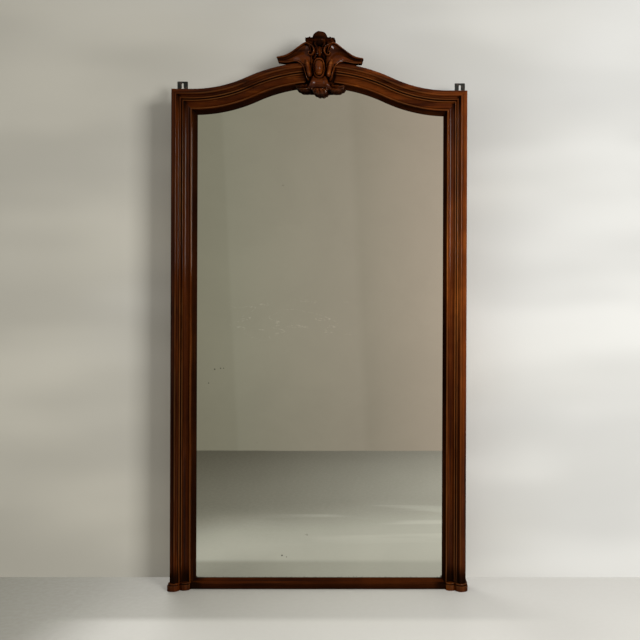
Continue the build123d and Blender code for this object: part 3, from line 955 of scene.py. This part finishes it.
@dataclass
class Frame:
    """The stiles, the arched top rail, the bottom rail and the plinth blocks.

    Attributes:
        moulding: the moulded section and the frame's outline.
        rail_end: half the length of the bottom rail, where its slope starts.
        foot_drop: how far the bottom rail's inset 0 would lie below the floor.
        plinth_height: height of a plinth block with its collar.
        collar: height of the collar.
        plinth_depth: depth of the block's foremost lobe.
    """

    moulding: Moulding
    rail_end: float = 512.0
    foot_drop: float = 57.0
    plinth_height: float = 30.0
    collar: float = 8.98
    plinth_depth: float = 88.0

    def stile(self, side: int) -> list[list[Vector]]:
        """Rings of a stile, from the floor up to the mitre.

        Args:
            side: 1 on the right, -1 on the left.

        Returns:
            The rings.
        """
        m = self.moulding
        points = m.section()
        places = [0.0] + [30 + 1870 * i / 24 for i in range(25)]
        rings = [[m.at(side * (m.half_width - u), h, z) for u, h in points] for z in places]
        return rings + [[m.at(side * (m.half_width - u), h, m.corner - u) for u, h in points]]

    def top_rail(self, side: int) -> list[list[Vector]]:
        """Rings of half the top rail, from the mitre over the knee to the middle.

        Args:
            side: 1 on the right, -1 on the left.

        Returns:
            The rings.
        """
        m = self.moulding
        points = m.section()

        def ring(place: Callable[[float], float], most: float = 1e9) -> list[Vector]:
            """A ring whose place across depends on the inset."""
            return [m.at(side * place(u), min(h, most), m.arch(place(u), u)) for u, h in points]

        first = math.radians(5)

        def radial(angle: float) -> Callable[[float], float]:
            """Places across on a radius of the knee."""
            return lambda u: m.knee_x - (m.knee + u) * math.sin(angle)

        rings = []
        for i in range(7):
            t = i / 6
            rings.append(ring(lambda u: (1 - t) * (m.half_width - u) + t * radial(first)(u)))
        for i in range(1, 13):
            rings.append(ring(radial(first + (m.turn - first) * i / 12)))
        last = math.asin(1.3 * m.slot_half / m.hump)
        for i in range(1, 19):
            angle = m.turn + (last - m.turn) * i / 18
            rings.append(ring(lambda u: (m.hump - u) * math.sin(angle)))
        rings.append(ring(lambda u: m.slot_half))
        for x in [share * m.slot_half for share in (1.0, 0.75, 0.5, 0.25)] + [0.15]:
            rings.append(ring(lambda u: x, m.slot_height))
        return rings

    def bottom_rail(self) -> list[list[Vector]]:
        """Rings of the bottom rail between the mitres at its slope.

        Returns:
            The rings.
        """
        m = self.moulding
        points = m.band()
        rings = []
        ends = [self.rail_end - max(0.0, u - 80) for u, h in points]
        for i in range(21):
            t = 2 * i / 20 - 1
            rings.append([m.at(t * end, h, u - self.foot_drop) for end, (u, h) in zip(ends, points)])
        return rings

    def plinth(self, side: int) -> BMesh:
        """A lobed plinth block with its collar.

        Args:
            side: 1 on the right, -1 on the left.

        Returns:
            The mesh.
        """
        m = self.moulding
        bm = bmesh.new()
        block = (0.0, 0.0, self.plinth_height - self.collar, 1.6)
        collar = (3.5, 21.0, self.plinth_height, 2.2)
        for step, low, high, rounding in (block, collar):
            front = self.plinth_depth - step
            run = [(-7 + step, 10), (-7 + step, front - 30)]
            run += arc(run[-1], (18, front), (42, front - 24), 16)
            run += arc(run[-1], (62, front - 16), (80, front - 28), 10)
            run += [(80, 45), (0.3, 45), (0.3, 10)]
            outline = [Vector((side * (m.half_width - u), m.middle - v, low)) for u, v in run]
            board(bm, outline, (0, 0, high - low), rounding)
        return bm

    def build(self, wood: dict[str, Finish]) -> None:
        """Builds and dresses the five members and the two plinth blocks.

        Args:
            wood: the finish of each member, by the member's name.
        """
        for side, word in ((-1, "left"), (1, "right")):
            for part, rings in (("stile", self.stile(side)), ("top_rail", self.top_rail(side))):
                name = f"{word}_{part}"
                bm = bmesh.new()
                loft(bm, rings)
                settle(bm, f"moulded_{name}", wood[name], [name], 30, self.moulding.dirt)
            name = f"{word}_plinth"
            settle(self.plinth(side), f"lobed_{name}", wood[name], [name])
        bm = bmesh.new()
        loft(bm, self.bottom_rail())
        settle(bm, "moulded_bottom_rail", wood["bottom_rail"], ["bottom_rail"], 30, self.moulding.band_dirt)


# Crest


class Profile(Enum):
    """The section of a carved stroke, from its left edge at -1 to its right edge at 1."""

    ROUND = "round"
    RIB = "rib"
    HOLLOW = "hollow"

    def height(self, t: float) -> float:
        """Height of the section, from 0 at its foot to 1 at its top.

        Args:
            t: the place across the section.

        Returns:
            The height.
        """
        edge = max(0.0, 1 - t * t) ** 0.5
        if self is Profile.ROUND:
            return edge
        if self is Profile.RIB:
            vein = 0.26 * math.exp(-((t / 0.16) ** 2)) - 0.20 * math.exp(-(((abs(t) - 0.42) / 0.2) ** 2))
            return edge**0.6 * (0.74 + vein)
        return edge**0.35 * (0.70 + 0.30 * ease((abs(t) - 0.35) / 0.45))


@dataclass(frozen=True)
class Stroke:
    """One stroke of carving that runs along a line and stands out of the ground behind it.

    Attributes:
        knots: rows of place across, rise above the arch, depth of the front and half width.
        profile: the section.
        lobes: how many lobes its edges have.
        back: depth of its back.
        count: how many sections it has.
        across: how many points its front has.
        bite: how deep its edges are cut between lobes.
        groove: how deep its front is cut between lobes.
    """

    knots: tuple[tuple[float, float, float, float], ...]
    profile: Profile = Profile.ROUND
    lobes: int = 0
    back: float = 46.0
    count: int = 36
    across: int = 15
    bite: float = 0.22
    groove: float = 0.0

    def flipped(self) -> Stroke:
        """The same stroke on the other side of the middle."""
        return replace(self, knots=tuple((-u, rise, front, half) for u, rise, front, half in self.knots))


@dataclass
class Crest:
    """The carved crest: swept wings, a domed cap with leaf ears, a cabochon, leaves and a gadrooned roll.

    Attributes:
        crown: height of the arch's top, which rises are measured from.
        middle: depth of the plane that the origin lies in.
        tilt: how much higher the left wing's tip stands, as the carver left it.
    """

    crown: float = 2115.0
    middle: float = 54.0
    tilt: float = 4.0

    def at(self, u: float, rise: float, depth: float) -> Vector:
        """A point from its place across, its rise above the arch and its depth from the back."""
        return Vector((u, self.middle - depth, self.crown + rise))

    def stroke(self, bm: BMesh, stroke: Stroke) -> None:
        """Carves one stroke into the mesh.

        Args:
            bm: the mesh.
            stroke: the stroke.
        """
        rows = flow(stroke.knots, stroke.count)
        ahead = np.gradient(rows[:, :2], axis=0)
        ahead /= np.maximum(np.linalg.norm(ahead, axis=1)[:, None], 1e-6)
        spots = np.cos(np.linspace(math.pi, 0, stroke.across))
        rings = []
        for i, (u, rise, front, half) in enumerate(rows):
            s = i / (stroke.count - 1)
            wave = abs(math.sin(stroke.lobes * math.pi * s)) if stroke.lobes else 1.0
            reach = max(half, 0.3) * (1 - stroke.bite * (1 - wave))
            side = np.array([ahead[i][1], -ahead[i][0]]) * reach
            ring = []
            for t in spots:
                lean = (1 - wave) * t * t * 0.30
                height = (front - stroke.back) * (0.45 + 0.55 * (stroke.profile.height(t) - lean))
                height *= 1 - stroke.groove * (1 - wave) ** 2
                ring.append(self.at(u + side[0] * t, rise + side[1] * t, stroke.back + max(height, 1.0)))
            ring += [self.at(u + side[0] * t, rise + side[1] * t, stroke.back) for t in (1, -1)]
            rings.append(ring)
        loft(bm, rings)

    def pair(self, bm: BMesh, *strokes: Stroke) -> None:
        """Carves strokes on both sides of the middle.

        Args:
            bm: the mesh.
            strokes: the strokes of the right side.
        """
        for stroke in strokes:
            self.stroke(bm, stroke)
            self.stroke(bm, stroke.flipped())

    def wing(self, bm: BMesh, side: int) -> None:
        """Carves a swept wing, from its blunt tip to the strip beside the cabochon.

        Args:
            bm: the mesh.
            side: 1 on the right, -1 on the left.
        """
        knots = (
            (174.0, 15, 166.5, -7, 55, 55, 0.3, 0.0),
            (171.5, 15.5, 164, -7.2, 60, 61, 0.5, 0.0),
            (160, 17.5, 156, -7.6, 61, 62, 2.5, 0.6),
            (143, 21.5, 140, -8.5, 62, 64, 4.5, 1.5),
            (124, 31, 125, -7.5, 63, 67, 6.5, 3.0),
            (103, 45.5, 108, -4.0, 64, 70, 8, 5.0),
            (84, 60, 93, -3.5, 66, 74, 9, 6.5),
            (66, 72.5, 79, -10.5, 68, 79, 9, 7.0),
            (50, 77, 68, -22, 70, 83, 8, 6.5),
            (38, 64, 61, -34, 73, 86, 5, 5.0),
            (32, 38, 57, -46, 76, 88, 2, 4.0),
            (30, 10, 54, -57, 78, 88, 0, 3.5),
            (30, -20, 51, -68, 78, 86, -1, 2.0),
            (31, -46, 47, -76, 76, 82, -1, 1.0),
            (32, -62, 42, -80, 70, 72, 0, 0.0),
        )
        rings = []
        strip = (0.06, 0.25, 0.5, 0.75, 0.94)
        for uu, ru, ul, rl, upper, lower, sag, swell in flow(knots, 84):
            if side < 0:
                ru += self.tilt * ease((uu - 70) / 100)
                rl += self.tilt * ease((ul - 110) / 60)
            top, low = np.array([uu, ru]), np.array([ul, rl])
            chord = np.linalg.norm(low - top)
            band, rim = min(8.5, 0.26 * chord), min(5.0, 0.2 * chord)
            back = 14 + 22 * ease((uu - 92) / 46) if min(ru, rl) > -9.2 else 50
            section = [(0, back), (0, upper - 3)]
            section += [(band * q, upper - 2.4 * (2 * q - 1) ** 2) for q in strip]
            section += [(band + 0.2, upper - 10.5), (band + 1.4, upper - 11.0)]
            for q in np.linspace(0.03, 0.97, 17):
                ground = (upper - 7.5) * (1 - q) + (lower - 9.5) * q
                curve = 0.4 * swell * math.sin(math.pi * ease((q - 0.35) / 0.65))
                curve -= sag * math.sin(math.pi * min(q / 0.62, 1))
                section.append((band + 1.6 + (chord - band - rim - 2.8) * q, ground + curve))
            section += [(chord - rim - 0.9, lower - 11.5), (chord - rim - 0.2, lower - 11.0)]
            section += [(chord - rim + rim * q, lower - 1.6 * (2 * q - 1) ** 2) for q in strip]
            section += [(chord, lower - 3), (chord, back)]
            ring = []
            for reach, depth in section:
                place = top + (low - top) * reach / chord
                ring.append(self.at(side * place[0], place[1], depth))
            rings.append(ring)
        loft(bm, rings)

    def slab(self, bm: BMesh, half: Sequence[Pair], back: float, front: float, rounding: float) -> None:
        """Cuts a flat board, the same on both sides of the middle, with a rounded front arris.

        Args:
            bm: the mesh.
            half: points across and in rise of its right half, from the middle's foot or top and back to it.
            back: depth of its back.
            front: depth of its front.
            rounding: reach of the rounding.
        """
        outline = list(half) + [(-u, rise) for u, rise in reversed(half) if u > 0]
        board(bm, [self.at(u, rise, back) for u, rise in outline], (0, back - front, 0), rounding)

    def dome(
        self,
        bm: BMesh,
        centre: Pair,
        radii: Pair,
        depths: Pair,
        flutes: int,
        cut: float,
        power: float,
        sunk: float = 14.0,
    ) -> None:
        """Carves a dome that stands forward, with shallow flutes that run from its front to its rim.

        Args:
            bm: the mesh.
            centre: place across and rise of its middle.
            radii: half width and half height.
            depths: depth of its foot and of its front.
            flutes: how many flutes run round it.
            cut: depth of a flute as a share of the radius.
            power: 2 for an ellipse, more for a squarer outline.
            sunk: how far its foot reaches back into the ground.
        """
        rings = []
        for a in np.linspace(0, math.pi / 2 * 0.985, 22):
            ring = []
            for k in range(72):
                b = 2 * math.pi * k / 72
                valley = 1 - abs(math.cos(flutes * b / 2)) ** 0.7
                groove = 1 - cut * valley * math.sin(2 * a) ** 0.5
                reach = math.cos(a) ** 0.9 * oval(b, power) * groove
                depth = depths[0] + (depths[1] - depths[0]) * math.sin(a) * (0.5 + 0.5 * groove)
                u, rise = radii[0] * reach * math.cos(b), radii[1] * reach * math.sin(b)
                ring.append(self.at(centre[0] + u, centre[1] + rise, depth))
            rings.append(ring)
        rings.insert(0, [point + Vector((0, sunk, 0)) for point in rings[0]])
        loft(bm, rings)

    def wings(self) -> BMesh:
        """Both wings and the board between them.

        Returns:
            The mesh.
        """
        bm = bmesh.new()
        for side in (-1, 1):
            self.wing(bm, side)
        half = [(0, -2), (52, -2), (56, 30), (56, 70), (48, 78), (36, 84), (30, 96), (0, 98)]
        self.slab(bm, half, 14, 44, 3.0)
        return bm

    def body(self) -> BMesh:
        """The ground behind the cabochon, the C-scrolls, the tongue, the side strips and the bell-shaped skirt.

        Returns:
            The mesh.
        """
        bm = bmesh.new()
        half = [(0, 52), (30, 50), (40, 30), (44, -20), (38, -60), (38, -90), (46, -106), (0, -108)]
        self.slab(bm, half, 44, 60, 2.0)
        rim = [
            (56, 70, 74, 2.2), (48, 69, 78, 3.0), (38, 63, 82, 3.6), (27, 55, 85, 4.0), (21, 43, 87, 4.3),
            (22, 31, 87, 4.2),
        ]
        rim += [(29, 22, 85, 3.8), (38, 21, 83, 3.4), (43, 28, 82, 3.2), (40, 35, 81, 3.0), (35, 34, 80, 2.6)]
        leaf = [(12, 60, 70, 4), (13, 50, 76, 5.5), (13.5, 38, 78, 5.5), (15, 25, 76, 5), (21, 10, 74, 4)]
        curl = [
            (27, 6, 74, 4), (31, -8, 80, 5), (30, -22, 80, 4.5), (26, -34, 78, 4), (27, -46, 78, 3.5),
            (30, -56, 76, 3),
        ]
        strip = [
            (50, 2, 84, 6), (46.5, -14, 90, 8.5), (43.5, -30, 93, 9.5), (41, -46, 95, 9.5),
            (38.5, -60, 96, 8.5), (37, -68, 91, 6.5),
        ]
        self.pair(
            bm,
            Stroke(tuple(rim), back=56, count=72),
            Stroke(tuple(leaf), Profile.RIB, 2, back=54),
            Stroke(tuple(curl), Profile.RIB, 3, back=58),
            Stroke(tuple(strip), back=60, count=40, across=19),
        )
        tongue = (
            (0, 58, 72, 3), (0, 50, 82, 8), (0, 40, 88, 10.5), (0, 29, 88, 9.5), (0, 19, 84, 5),
            (0, 14, 78, 1.5),
        )
        self.stroke(bm, Stroke(tongue, Profile.RIB, back=54, across=21))
        skirt = (
            (0, -62, 76, 30), (0, -74, 84, 32), (0, -86, 88, 35), (0, -98, 87, 41), (0, -107, 81, 48),
            (0, -113, 71, 51),
        )
        self.stroke(bm, Stroke(skirt, Profile.HOLLOW, back=46, count=40, across=41))
        hem = [
            (-50, -108), (-36, -112), (-21, -114), (-7, -115), (7, -115), (21, -114), (36, -112),
            (50, -108),
        ]
        for (u1, r1), (u2, r2) in zip(hem, hem[1:]):
            knots = ((u1, r1 + 3, 68, 2), ((u1 + u2) / 2, (r1 + r2) / 2 + 2, 77, 4.0), (u2, r2 + 3, 68, 2))
            self.stroke(bm, Stroke(knots, back=56, count=14, across=11))
        return bm

    def cap(self) -> BMesh:
        """The domed cap with its leaf ears and the small curled leaves in the hollow under it.

        Returns:
            The mesh.
        """
        bm = bmesh.new()
        self.dome(bm, (0, 94.4), (29.5, 28.5), (54, 76), 7, 0.13, 2.2)
        ear = (
            (16, 84, 60, 13), (29, 86, 70, 15), (40, 87, 75, 14.5), (48, 89, 74, 12), (54, 92, 70, 8),
            (58, 96, 64, 3),
        )
        under = ((26, 66, 64, 5), (36, 70, 72, 7), (45, 75, 74, 7), (53, 79, 70, 4), (56, 81, 64, 1))
        curl = ((7, 80, 60, 3), (15, 77, 68, 5), (19, 69, 72, 5.5), (15, 61, 72, 4.5), (9, 60, 68, 2.5))
        self.pair(
            bm,
            Stroke(ear, Profile.RIB, 3, back=24, bite=0.16),
            Stroke(under, Profile.RIB, 2, back=40),
            Stroke(curl, back=42),
        )
        return bm

    def cabochon(self) -> BMesh:
        """The long oval cabochon in its raised rim.

        Returns:
            The mesh.
        """
        bm = bmesh.new()
        rows = [
            (1.0, 60), (1.0, 78), (0.985, 82), (0.93, 85), (0.87, 86), (0.81, 84.5), (0.77, 81), (0.75, 80),
            (0.73, 83),
        ]
        turns = np.linspace(0.12, math.pi / 2 * 0.985, 14)
        rows += [(0.73 * math.cos(a) ** 0.85, 83 + 24.5 * math.sin(a)) for a in turns]
        rings = []
        for scale, depth in rows:
            ring = []
            for k in range(64):
                a = 2 * math.pi * k / 64
                reach = scale * oval(a, 2.5)
                ring.append(self.at(22.5 * reach * math.cos(a), -32 + 41 * reach * math.sin(a), depth))
            rings.append(ring)
        loft(bm, rings)
        return bm

    def leaves(self) -> BMesh:
        """The leaf scrolls that run out from under the skirt.

        Returns:
            The mesh.
        """
        bm = bmesh.new()
        leaf = [
            (36, -100, 68, 7), (50, -101.5, 79, 9.5), (64, -103, 81, 10), (78, -103.5, 79, 9),
            (89, -101.5, 75, 6.5),
        ]
        leaf.append((98, -97, 66, 2.5))
        roll = [
            (40, -109, 62, 4), (53, -110.5, 68, 6), (66, -111.5, 69, 6), (77, -110.5, 66, 5),
            (86, -107, 60, 2),
        ]
        self.pair(
            bm,
            Stroke(tuple(leaf), Profile.RIB, 3, back=27, count=48, across=19, bite=0.16),
            Stroke(tuple(roll), Profile.ROUND, 2, back=27, count=40, bite=0.14),
        )
        return bm

    def bud(self) -> BMesh:
        """The gadrooned roll at the foot.

        Returns:
            The mesh.
        """
        bm = bmesh.new()
        half = [(0, -118, 86, 11.5), (11, -117.5, 84, 11), (20, -116, 78, 9), (27, -112.5, 68, 4.5)]
        knots = [(-u, rise, front, wide) for u, rise, front, wide in reversed(half[1:])] + half
        self.stroke(bm, Stroke(tuple(knots), lobes=4, back=27, count=91, across=21, bite=0.08, groove=0.14))
        self.slab(bm, [(0, -100), (22, -100), (24, -108), (18, -116), (9, -119.5), (0, -120.5)], 27, 58, 6.0)
        return bm

    def dirt(self, place: Vector) -> float:
        """Painted shade deep in the carving, most of all in the hollow under the cap, and a darker top on the
        dome.

        Args:
            place: the place, in metres.

        Returns:
            The darkening, from 0 to 1.
        """
        u, rise, depth = place.x / MM, place.z / MM - self.crown, self.middle - place.y / MM
        # Painted shade: surfaces set far back, and the hollow under the cap, are darkened where shade falls;
        # the dome's top is darker too.
        deep = (0.7 if rise > -95 else 0.5) * ease((66 - depth) / 24) if depth > 24 else 0.0
        hollow = math.exp(-((u / 30) ** 2) - ((rise - 72) / 20) ** 2)
        return min(1.0, deep + 0.75 * hollow + 0.45 * ease((rise - 84) / 6))

    def build(self, wood: Finish) -> None:
        """Carves and dresses the six parts of the crest.

        Args:
            wood: the finish of the carving.
        """
        carves = (self.wings, self.body, self.cap, self.cabochon, self.leaves, self.bud)
        for carve, node in zip(carves, ("board", "plaque", "cap", "cabochon", "scrolls", "drop")):
            settle(carve(), f"carved_{carve.__name__}", wood, [f"crest_{node}"], 55, self.dirt)


# Studio


class WallPaint(Look):
    """Pale wall paint that shows from its front only, with painted light: paler on the right and darker higher
    up.
    """

    def draw(self, g: Graph) -> None:
        """Draws the paint into a material's graph.

        Args:
            g: the graph.
        """
        drift = g.noise(g.place((0.8, 0.8, 1.9)), 2.0, 0.5)
        grit = g.noise(g.place(60.0), 3.0, 0.6)
        # Painted light: the wall is paler on the right, where the key lamp's light falls, and darker on the
        # left.
        light_across = (g.axis(0) + (drift - 0.5) * 1.6).ease(-1.3, 1.3)
        colour = g.mix(light_across, (0.60, 0.575, 0.495), (0.665, 0.662, 0.637))
        blotch = g.noise(g.place((0.75, 0.75, 2.3), (0.4, 0, 0.2)), 2.0, 0.5).ease(0.32, 0.68)
        colour = g.tint(colour, g.mix(blotch, (0.86, 0.86, 0.86), (1.04, 1.04, 1.04)))
        # Painted shade: darker higher up the wall.
        colour = g.tint(colour, g.mix(g.axis(2).ease(0.6, 2.5), (1.0, 1.0, 1.0), (0.84, 0.84, 0.84)))
        paint = g.node(
            "ShaderNodeBsdfPrincipled",
            None,
            {
                "Base Color": colour,
                "Roughness": 0.9,
                "Normal": g.bump(grit, 0.0006, 0.2),
                "Specular IOR Level": 0.1,
            },
        )
        hidden = g.node("ShaderNodeBsdfTransparent")
        back = g.value("ShaderNodeNewGeometry", {}, {}, "Backfacing")
        both = g.node("ShaderNodeMixShader", None, {0: back, 1: paint.outputs[0], 2: hidden.outputs[0]})
        g.finish(both.outputs[0])


class FloorPaint(Look):
    """Pale sealed floor with painted light: paler on the right, a painted pool of light and painted gleams near
    the mirror, and painted shadow further from it.
    """

    def draw(self, g: Graph) -> None:
        """Draws the paint into a material's graph.

        Args:
            g: the graph.
        """
        drift = g.noise(g.place(1.2), 3.0, 0.55)
        grit = g.noise(g.place(45.0), 3.0, 0.6)
        # Painted shadow: the floor darkens further from the mirror, towards the camera and far off.
        near = (g.axis(1) + (g.axis(0) - 0.2) * 0.15 + drift * 0.3).ease(-1.55, -0.75, 0.66, 1.0)
        far = g.axis(1).ease(-3.5, -1.5, 0.80, 1.0)
        # Painted light: paler on the right, where the light falls.
        side = (g.axis(0) + drift * 0.3).ease(-1.5, 1.5)
        colour = g.mix(side, (0.25, 0.24, 0.195), (0.69, 0.675, 0.63))
        # Painted gleams: pale streaks of reflected light on the floor near the mirror.
        gleam = g.noise(g.place((0.9, 5.5, 1.0), (0.3, 0, 0)), 2.0, 0.5).ease(0.50, 0.62)
        gleam = gleam * g.axis(1).ease(-1.7, -1.35) * g.axis(1).ease(-0.5, -0.9) * g.axis(0).ease(-0.6, 0.1)
        colour = g.mix(gleam * 0.45, colour, (0.86, 0.85, 0.80))
        # Painted pool of light in front of the mirror, weaker at its foot.
        lit = g.axis(1).ease(-1.4, -0.45) * g.axis(1).ease(-0.38, -0.30, 1.0, 0.25)
        lit = lit * g.axis(0).absolute().ease(0.6, 1.0, 1.0, 0.0)
        colour = g.mix(lit * 0.50, colour, (0.93, 0.91, 0.85))
        colour = g.mix(1.0 - near * far, colour, (0.05, 0.035, 0.02))
        g.surface(
            {
                "Base Color": colour,
                "Roughness": grit.ease(0.3, 0.7, 0.42, 0.58),
                "Normal": g.bump(grit, 0.0005, 0.3),
                "Specular IOR Level": 0.15,
            }
        )


class RoomPaint(Look):
    """A glowing sheet in place of the studio's dim far wall: a painted reflection for the mirror and the gloss,
    greenish on the left and warm on the right, with painted shade low and high.
    """

    def draw(self, g: Graph) -> None:
        """Draws the glowing painted reflection into a material's graph.

        Args:
            g: the graph.
        """
        slant = (g.axis(0) + (g.axis(2) - 2.5) * 0.05 + 2.0) / 3.0
        stops = [
            (0.0, (0.27, 0.25, 0.19)),
            (0.245, (0.315, 0.295, 0.232)),
            (0.254, (0.342, 0.321, 0.256)),
            (0.59, (0.430, 0.375, 0.312)),
            (0.615, (0.405, 0.352, 0.290)),
            (0.83, (0.565, 0.465, 0.390)),
            (1.0, (0.60, 0.50, 0.42)),
        ]
        colour = g.ramp(slant, stops)
        # Painted shade near the floor and near the top of the far wall.
        low = g.axis(2).ease(0.0, 1.1, 0.12, 0.0) + g.axis(2).ease(1.3, 3.0, 0.0, 0.10)
        colour = g.mix(low, colour, (0.05, 0.04, 0.03))
        # The sheet glows with its painted colour, though it is no lamp.
        g.surface({"Base Color": (0, 0, 0, 1), "Emission Color": colour, "Emission Strength": 1.0})


@dataclass
class Studio:
    """Pale floor and wall with painted light, the glowing far room that only the mirror and the gloss see as a
    painted reflection, lamps and camera.

    Attributes:
        wall_y: where the wall behind the mirror stands.
        room_y: where the far room's wall stands.
        height: height of both walls.
    """

    wall_y: float = 0.162
    room_y: float = -3.53
    height: float = 4.2

    def upright(self, half: float, y: float) -> list[Vector]:
        """Corners of a wall at y, which faces -Y where half its width is above 0 and +Y where it is below."""
        ends = ((-half, 0), (half, 0), (half, self.height), (-half, self.height))
        return [Vector((x, y, z)) for x, z in ends]

    def plane(self, name: str, corners: Sequence[Vector], material: Material) -> Object:
        """A staged flat sheet.

        Args:
            name: its name.
            corners: its corners, anticlockwise seen from its front.
            material: its material.

        Returns:
            The sheet.
        """
        bm = bmesh.new()
        bmesh.ops.create_grid(bm, x_segments=1, y_segments=1, size=0.5)
        bm.verts.ensure_lookup_table()
        order = sorted(bm.verts, key=lambda v: math.atan2(v.co.y, v.co.x))
        for vert, corner in zip(order, corners):
            vert.co = corner
        mesh = bpy.data.meshes.new(name)
        bm.to_mesh(mesh)
        bm.free()
        mesh.materials.append(material)
        sheet = bpy.data.objects.new(name, mesh)
        bpy.context.scene.collection.objects.link(sheet)
        return sheet

    def build(self) -> None:
        """Builds the studio."""
        back = self.plane("wall", self.upright(7, self.wall_y), WallPaint().material("wall_paint"))
        level = [Vector(corner) for corner in ((-9, -9, 0), (9, -9, 0), (9, 9, 0), (-9, 9, 0))]
        self.plane("floor", level, FloorPaint().material("floor_paint"))
        # The far room glows as a painted reflection, seen only by the mirror and the gloss.
        room = self.plane("far_room", self.upright(-5, self.room_y), RoomPaint().material("painted_room_reflection"))
        for sheet in (back, room):
            sheet.visible_diffuse = False
            sheet.visible_shadow = False
        room.visible_camera = False
        self.lamp("key_lamp", (2.3, -2.9, 2.1), (0.0, 0.0, 1.2), 1.2, 113)
        self.lamp("side_lamp", (-2.6, -2.4, 2.3), (0.0, 0.0, 1.2), 1.6, 14)
        self.lamp("rear_lamp", (-1.8, 3.0, 2.6), (0.0, 0.0, 1.1), 2.0, 50)
        self.sky()
        self.camera()

    def lamp(self, name: str, place: Triple, target: Triple, size: float, power: float) -> None:
        """Adds a square soft lamp.

        Args:
            name: its name.
            place: where it hangs.
            target: what it points at.
            size: its side.
            power: its power in watts.
        """
        data = bpy.data.lights.new(name, "AREA")
        data.size = size
        data.energy = power
        lamp = bpy.data.objects.new(name, data)
        lamp.location = place
        lamp.rotation_euler = (Vector(target) - Vector(place)).to_track_quat("-Z", "Y").to_euler()
        bpy.context.scene.collection.objects.link(lamp)

    def sky(self) -> None:
        """Plain even light, shown pale to the camera."""
        world = bpy.data.worlds.new("studio_light")
        bpy.context.scene.world = world
        g = Graph(world, "ShaderNodeOutputWorld")
        strength = 0.46 + 0.40 * g.value("ShaderNodeLightPath", {}, {}, "Is Camera Ray")
        inputs = {"Color": (1.0, 0.985, 0.955, 1.0), "Strength": strength}
        light = g.node("ShaderNodeBackground", None, inputs)
        g.finish(light.outputs[0])

    def camera(self) -> None:
        """Sets the camera at the photograph's view."""
        yaw, pitch, roll = math.radians(0.594), math.radians(-0.039), math.radians(0.207)
        data = bpy.data.cameras.new("camera")
        data.sensor_width = 36.0
        data.lens = 47.67
        data.shift_x = -0.1837
        data.shift_y = 0.0008
        aim = Matrix.Rotation(-yaw, 4, "Z") @ Matrix.Rotation(math.radians(90) + pitch, 4, "X")
        turn = aim @ Matrix.Rotation(roll, 4, "Z")
        camera = bpy.data.objects.new("camera", data)
        camera.matrix_world = Matrix.Translation((0.4402, -3.4023, 1.0824)) @ turn
        bpy.context.scene.collection.objects.link(camera)
        bpy.context.scene.camera = camera


def dress(node: Object, material: Material) -> None:
    """Gives a CAD node its material.

    Args:
        node: the node.
        material: its material.
    """
    if not node.data.materials:
        node.data.materials.append(material)
    for slot in node.material_slots:
        slot.link = "OBJECT"
        slot.material = material


def main() -> None:
    """Builds the mirror's looks and the studio, in order."""
    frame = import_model()
    nodes = frame["nodes"]
    wood = {}
    rails = ["left_top_rail", "right_top_rail", "bottom_rail"]
    for index, name in enumerate(["left_stile", "right_stile", *rails, "left_plinth", "right_plinth"]):
        grain = Grain.ACROSS if name in rails else Grain.UP
        wood[name] = Finish(WaxedWood(grain, seed=3.1 * index + 1).material(f"waxed_{name}"), "frame_wood")
    crest = Finish(WaxedWood(Grain.ACROSS, shine=0.24, seed=40.0).material("waxed_crest"), "crest_wood")
    Frame(Moulding()).build(wood)
    Crest().build(crest)
    # Painted shade, with some dark wax, in the recesses of the moulded and carved pieces.
    soot([piece for piece in bpy.data.objects if piece.type == "MESH" and "grime" in piece.data.attributes])
    silver = OldSilver().material("old_silver")
    iron = BlackIron().material("black_iron")
    steel = ScrewSteel().material("screw_steel")
    upright = [PlainWood(Grain.UP, seed=5.0 * k + 2).material(f"plain_up_{k}") for k in range(4)]
    level = [PlainWood(Grain.ACROSS, seed=7.0 * k + 30).material(f"plain_level_{k}") for k in range(4)]
    for index, (name, node) in enumerate(sorted(nodes.items())):
        if node.hide_render:
            continue
        if name == "mirror_glass":
            look = silver
        elif name.endswith("hanging_plate"):
            look = iron
        elif name.endswith("screws"):
            look = steel
        else:
            look = (level if "rail" in name else upright)[index % 4]
        dress(node, look)
    Studio().build()
    scene = bpy.context.scene
    scene.view_settings.view_transform = "Standard"


if __name__ == "__main__":
    logging.basicConfig(level=logging.INFO, format="%(message)s")
    main()
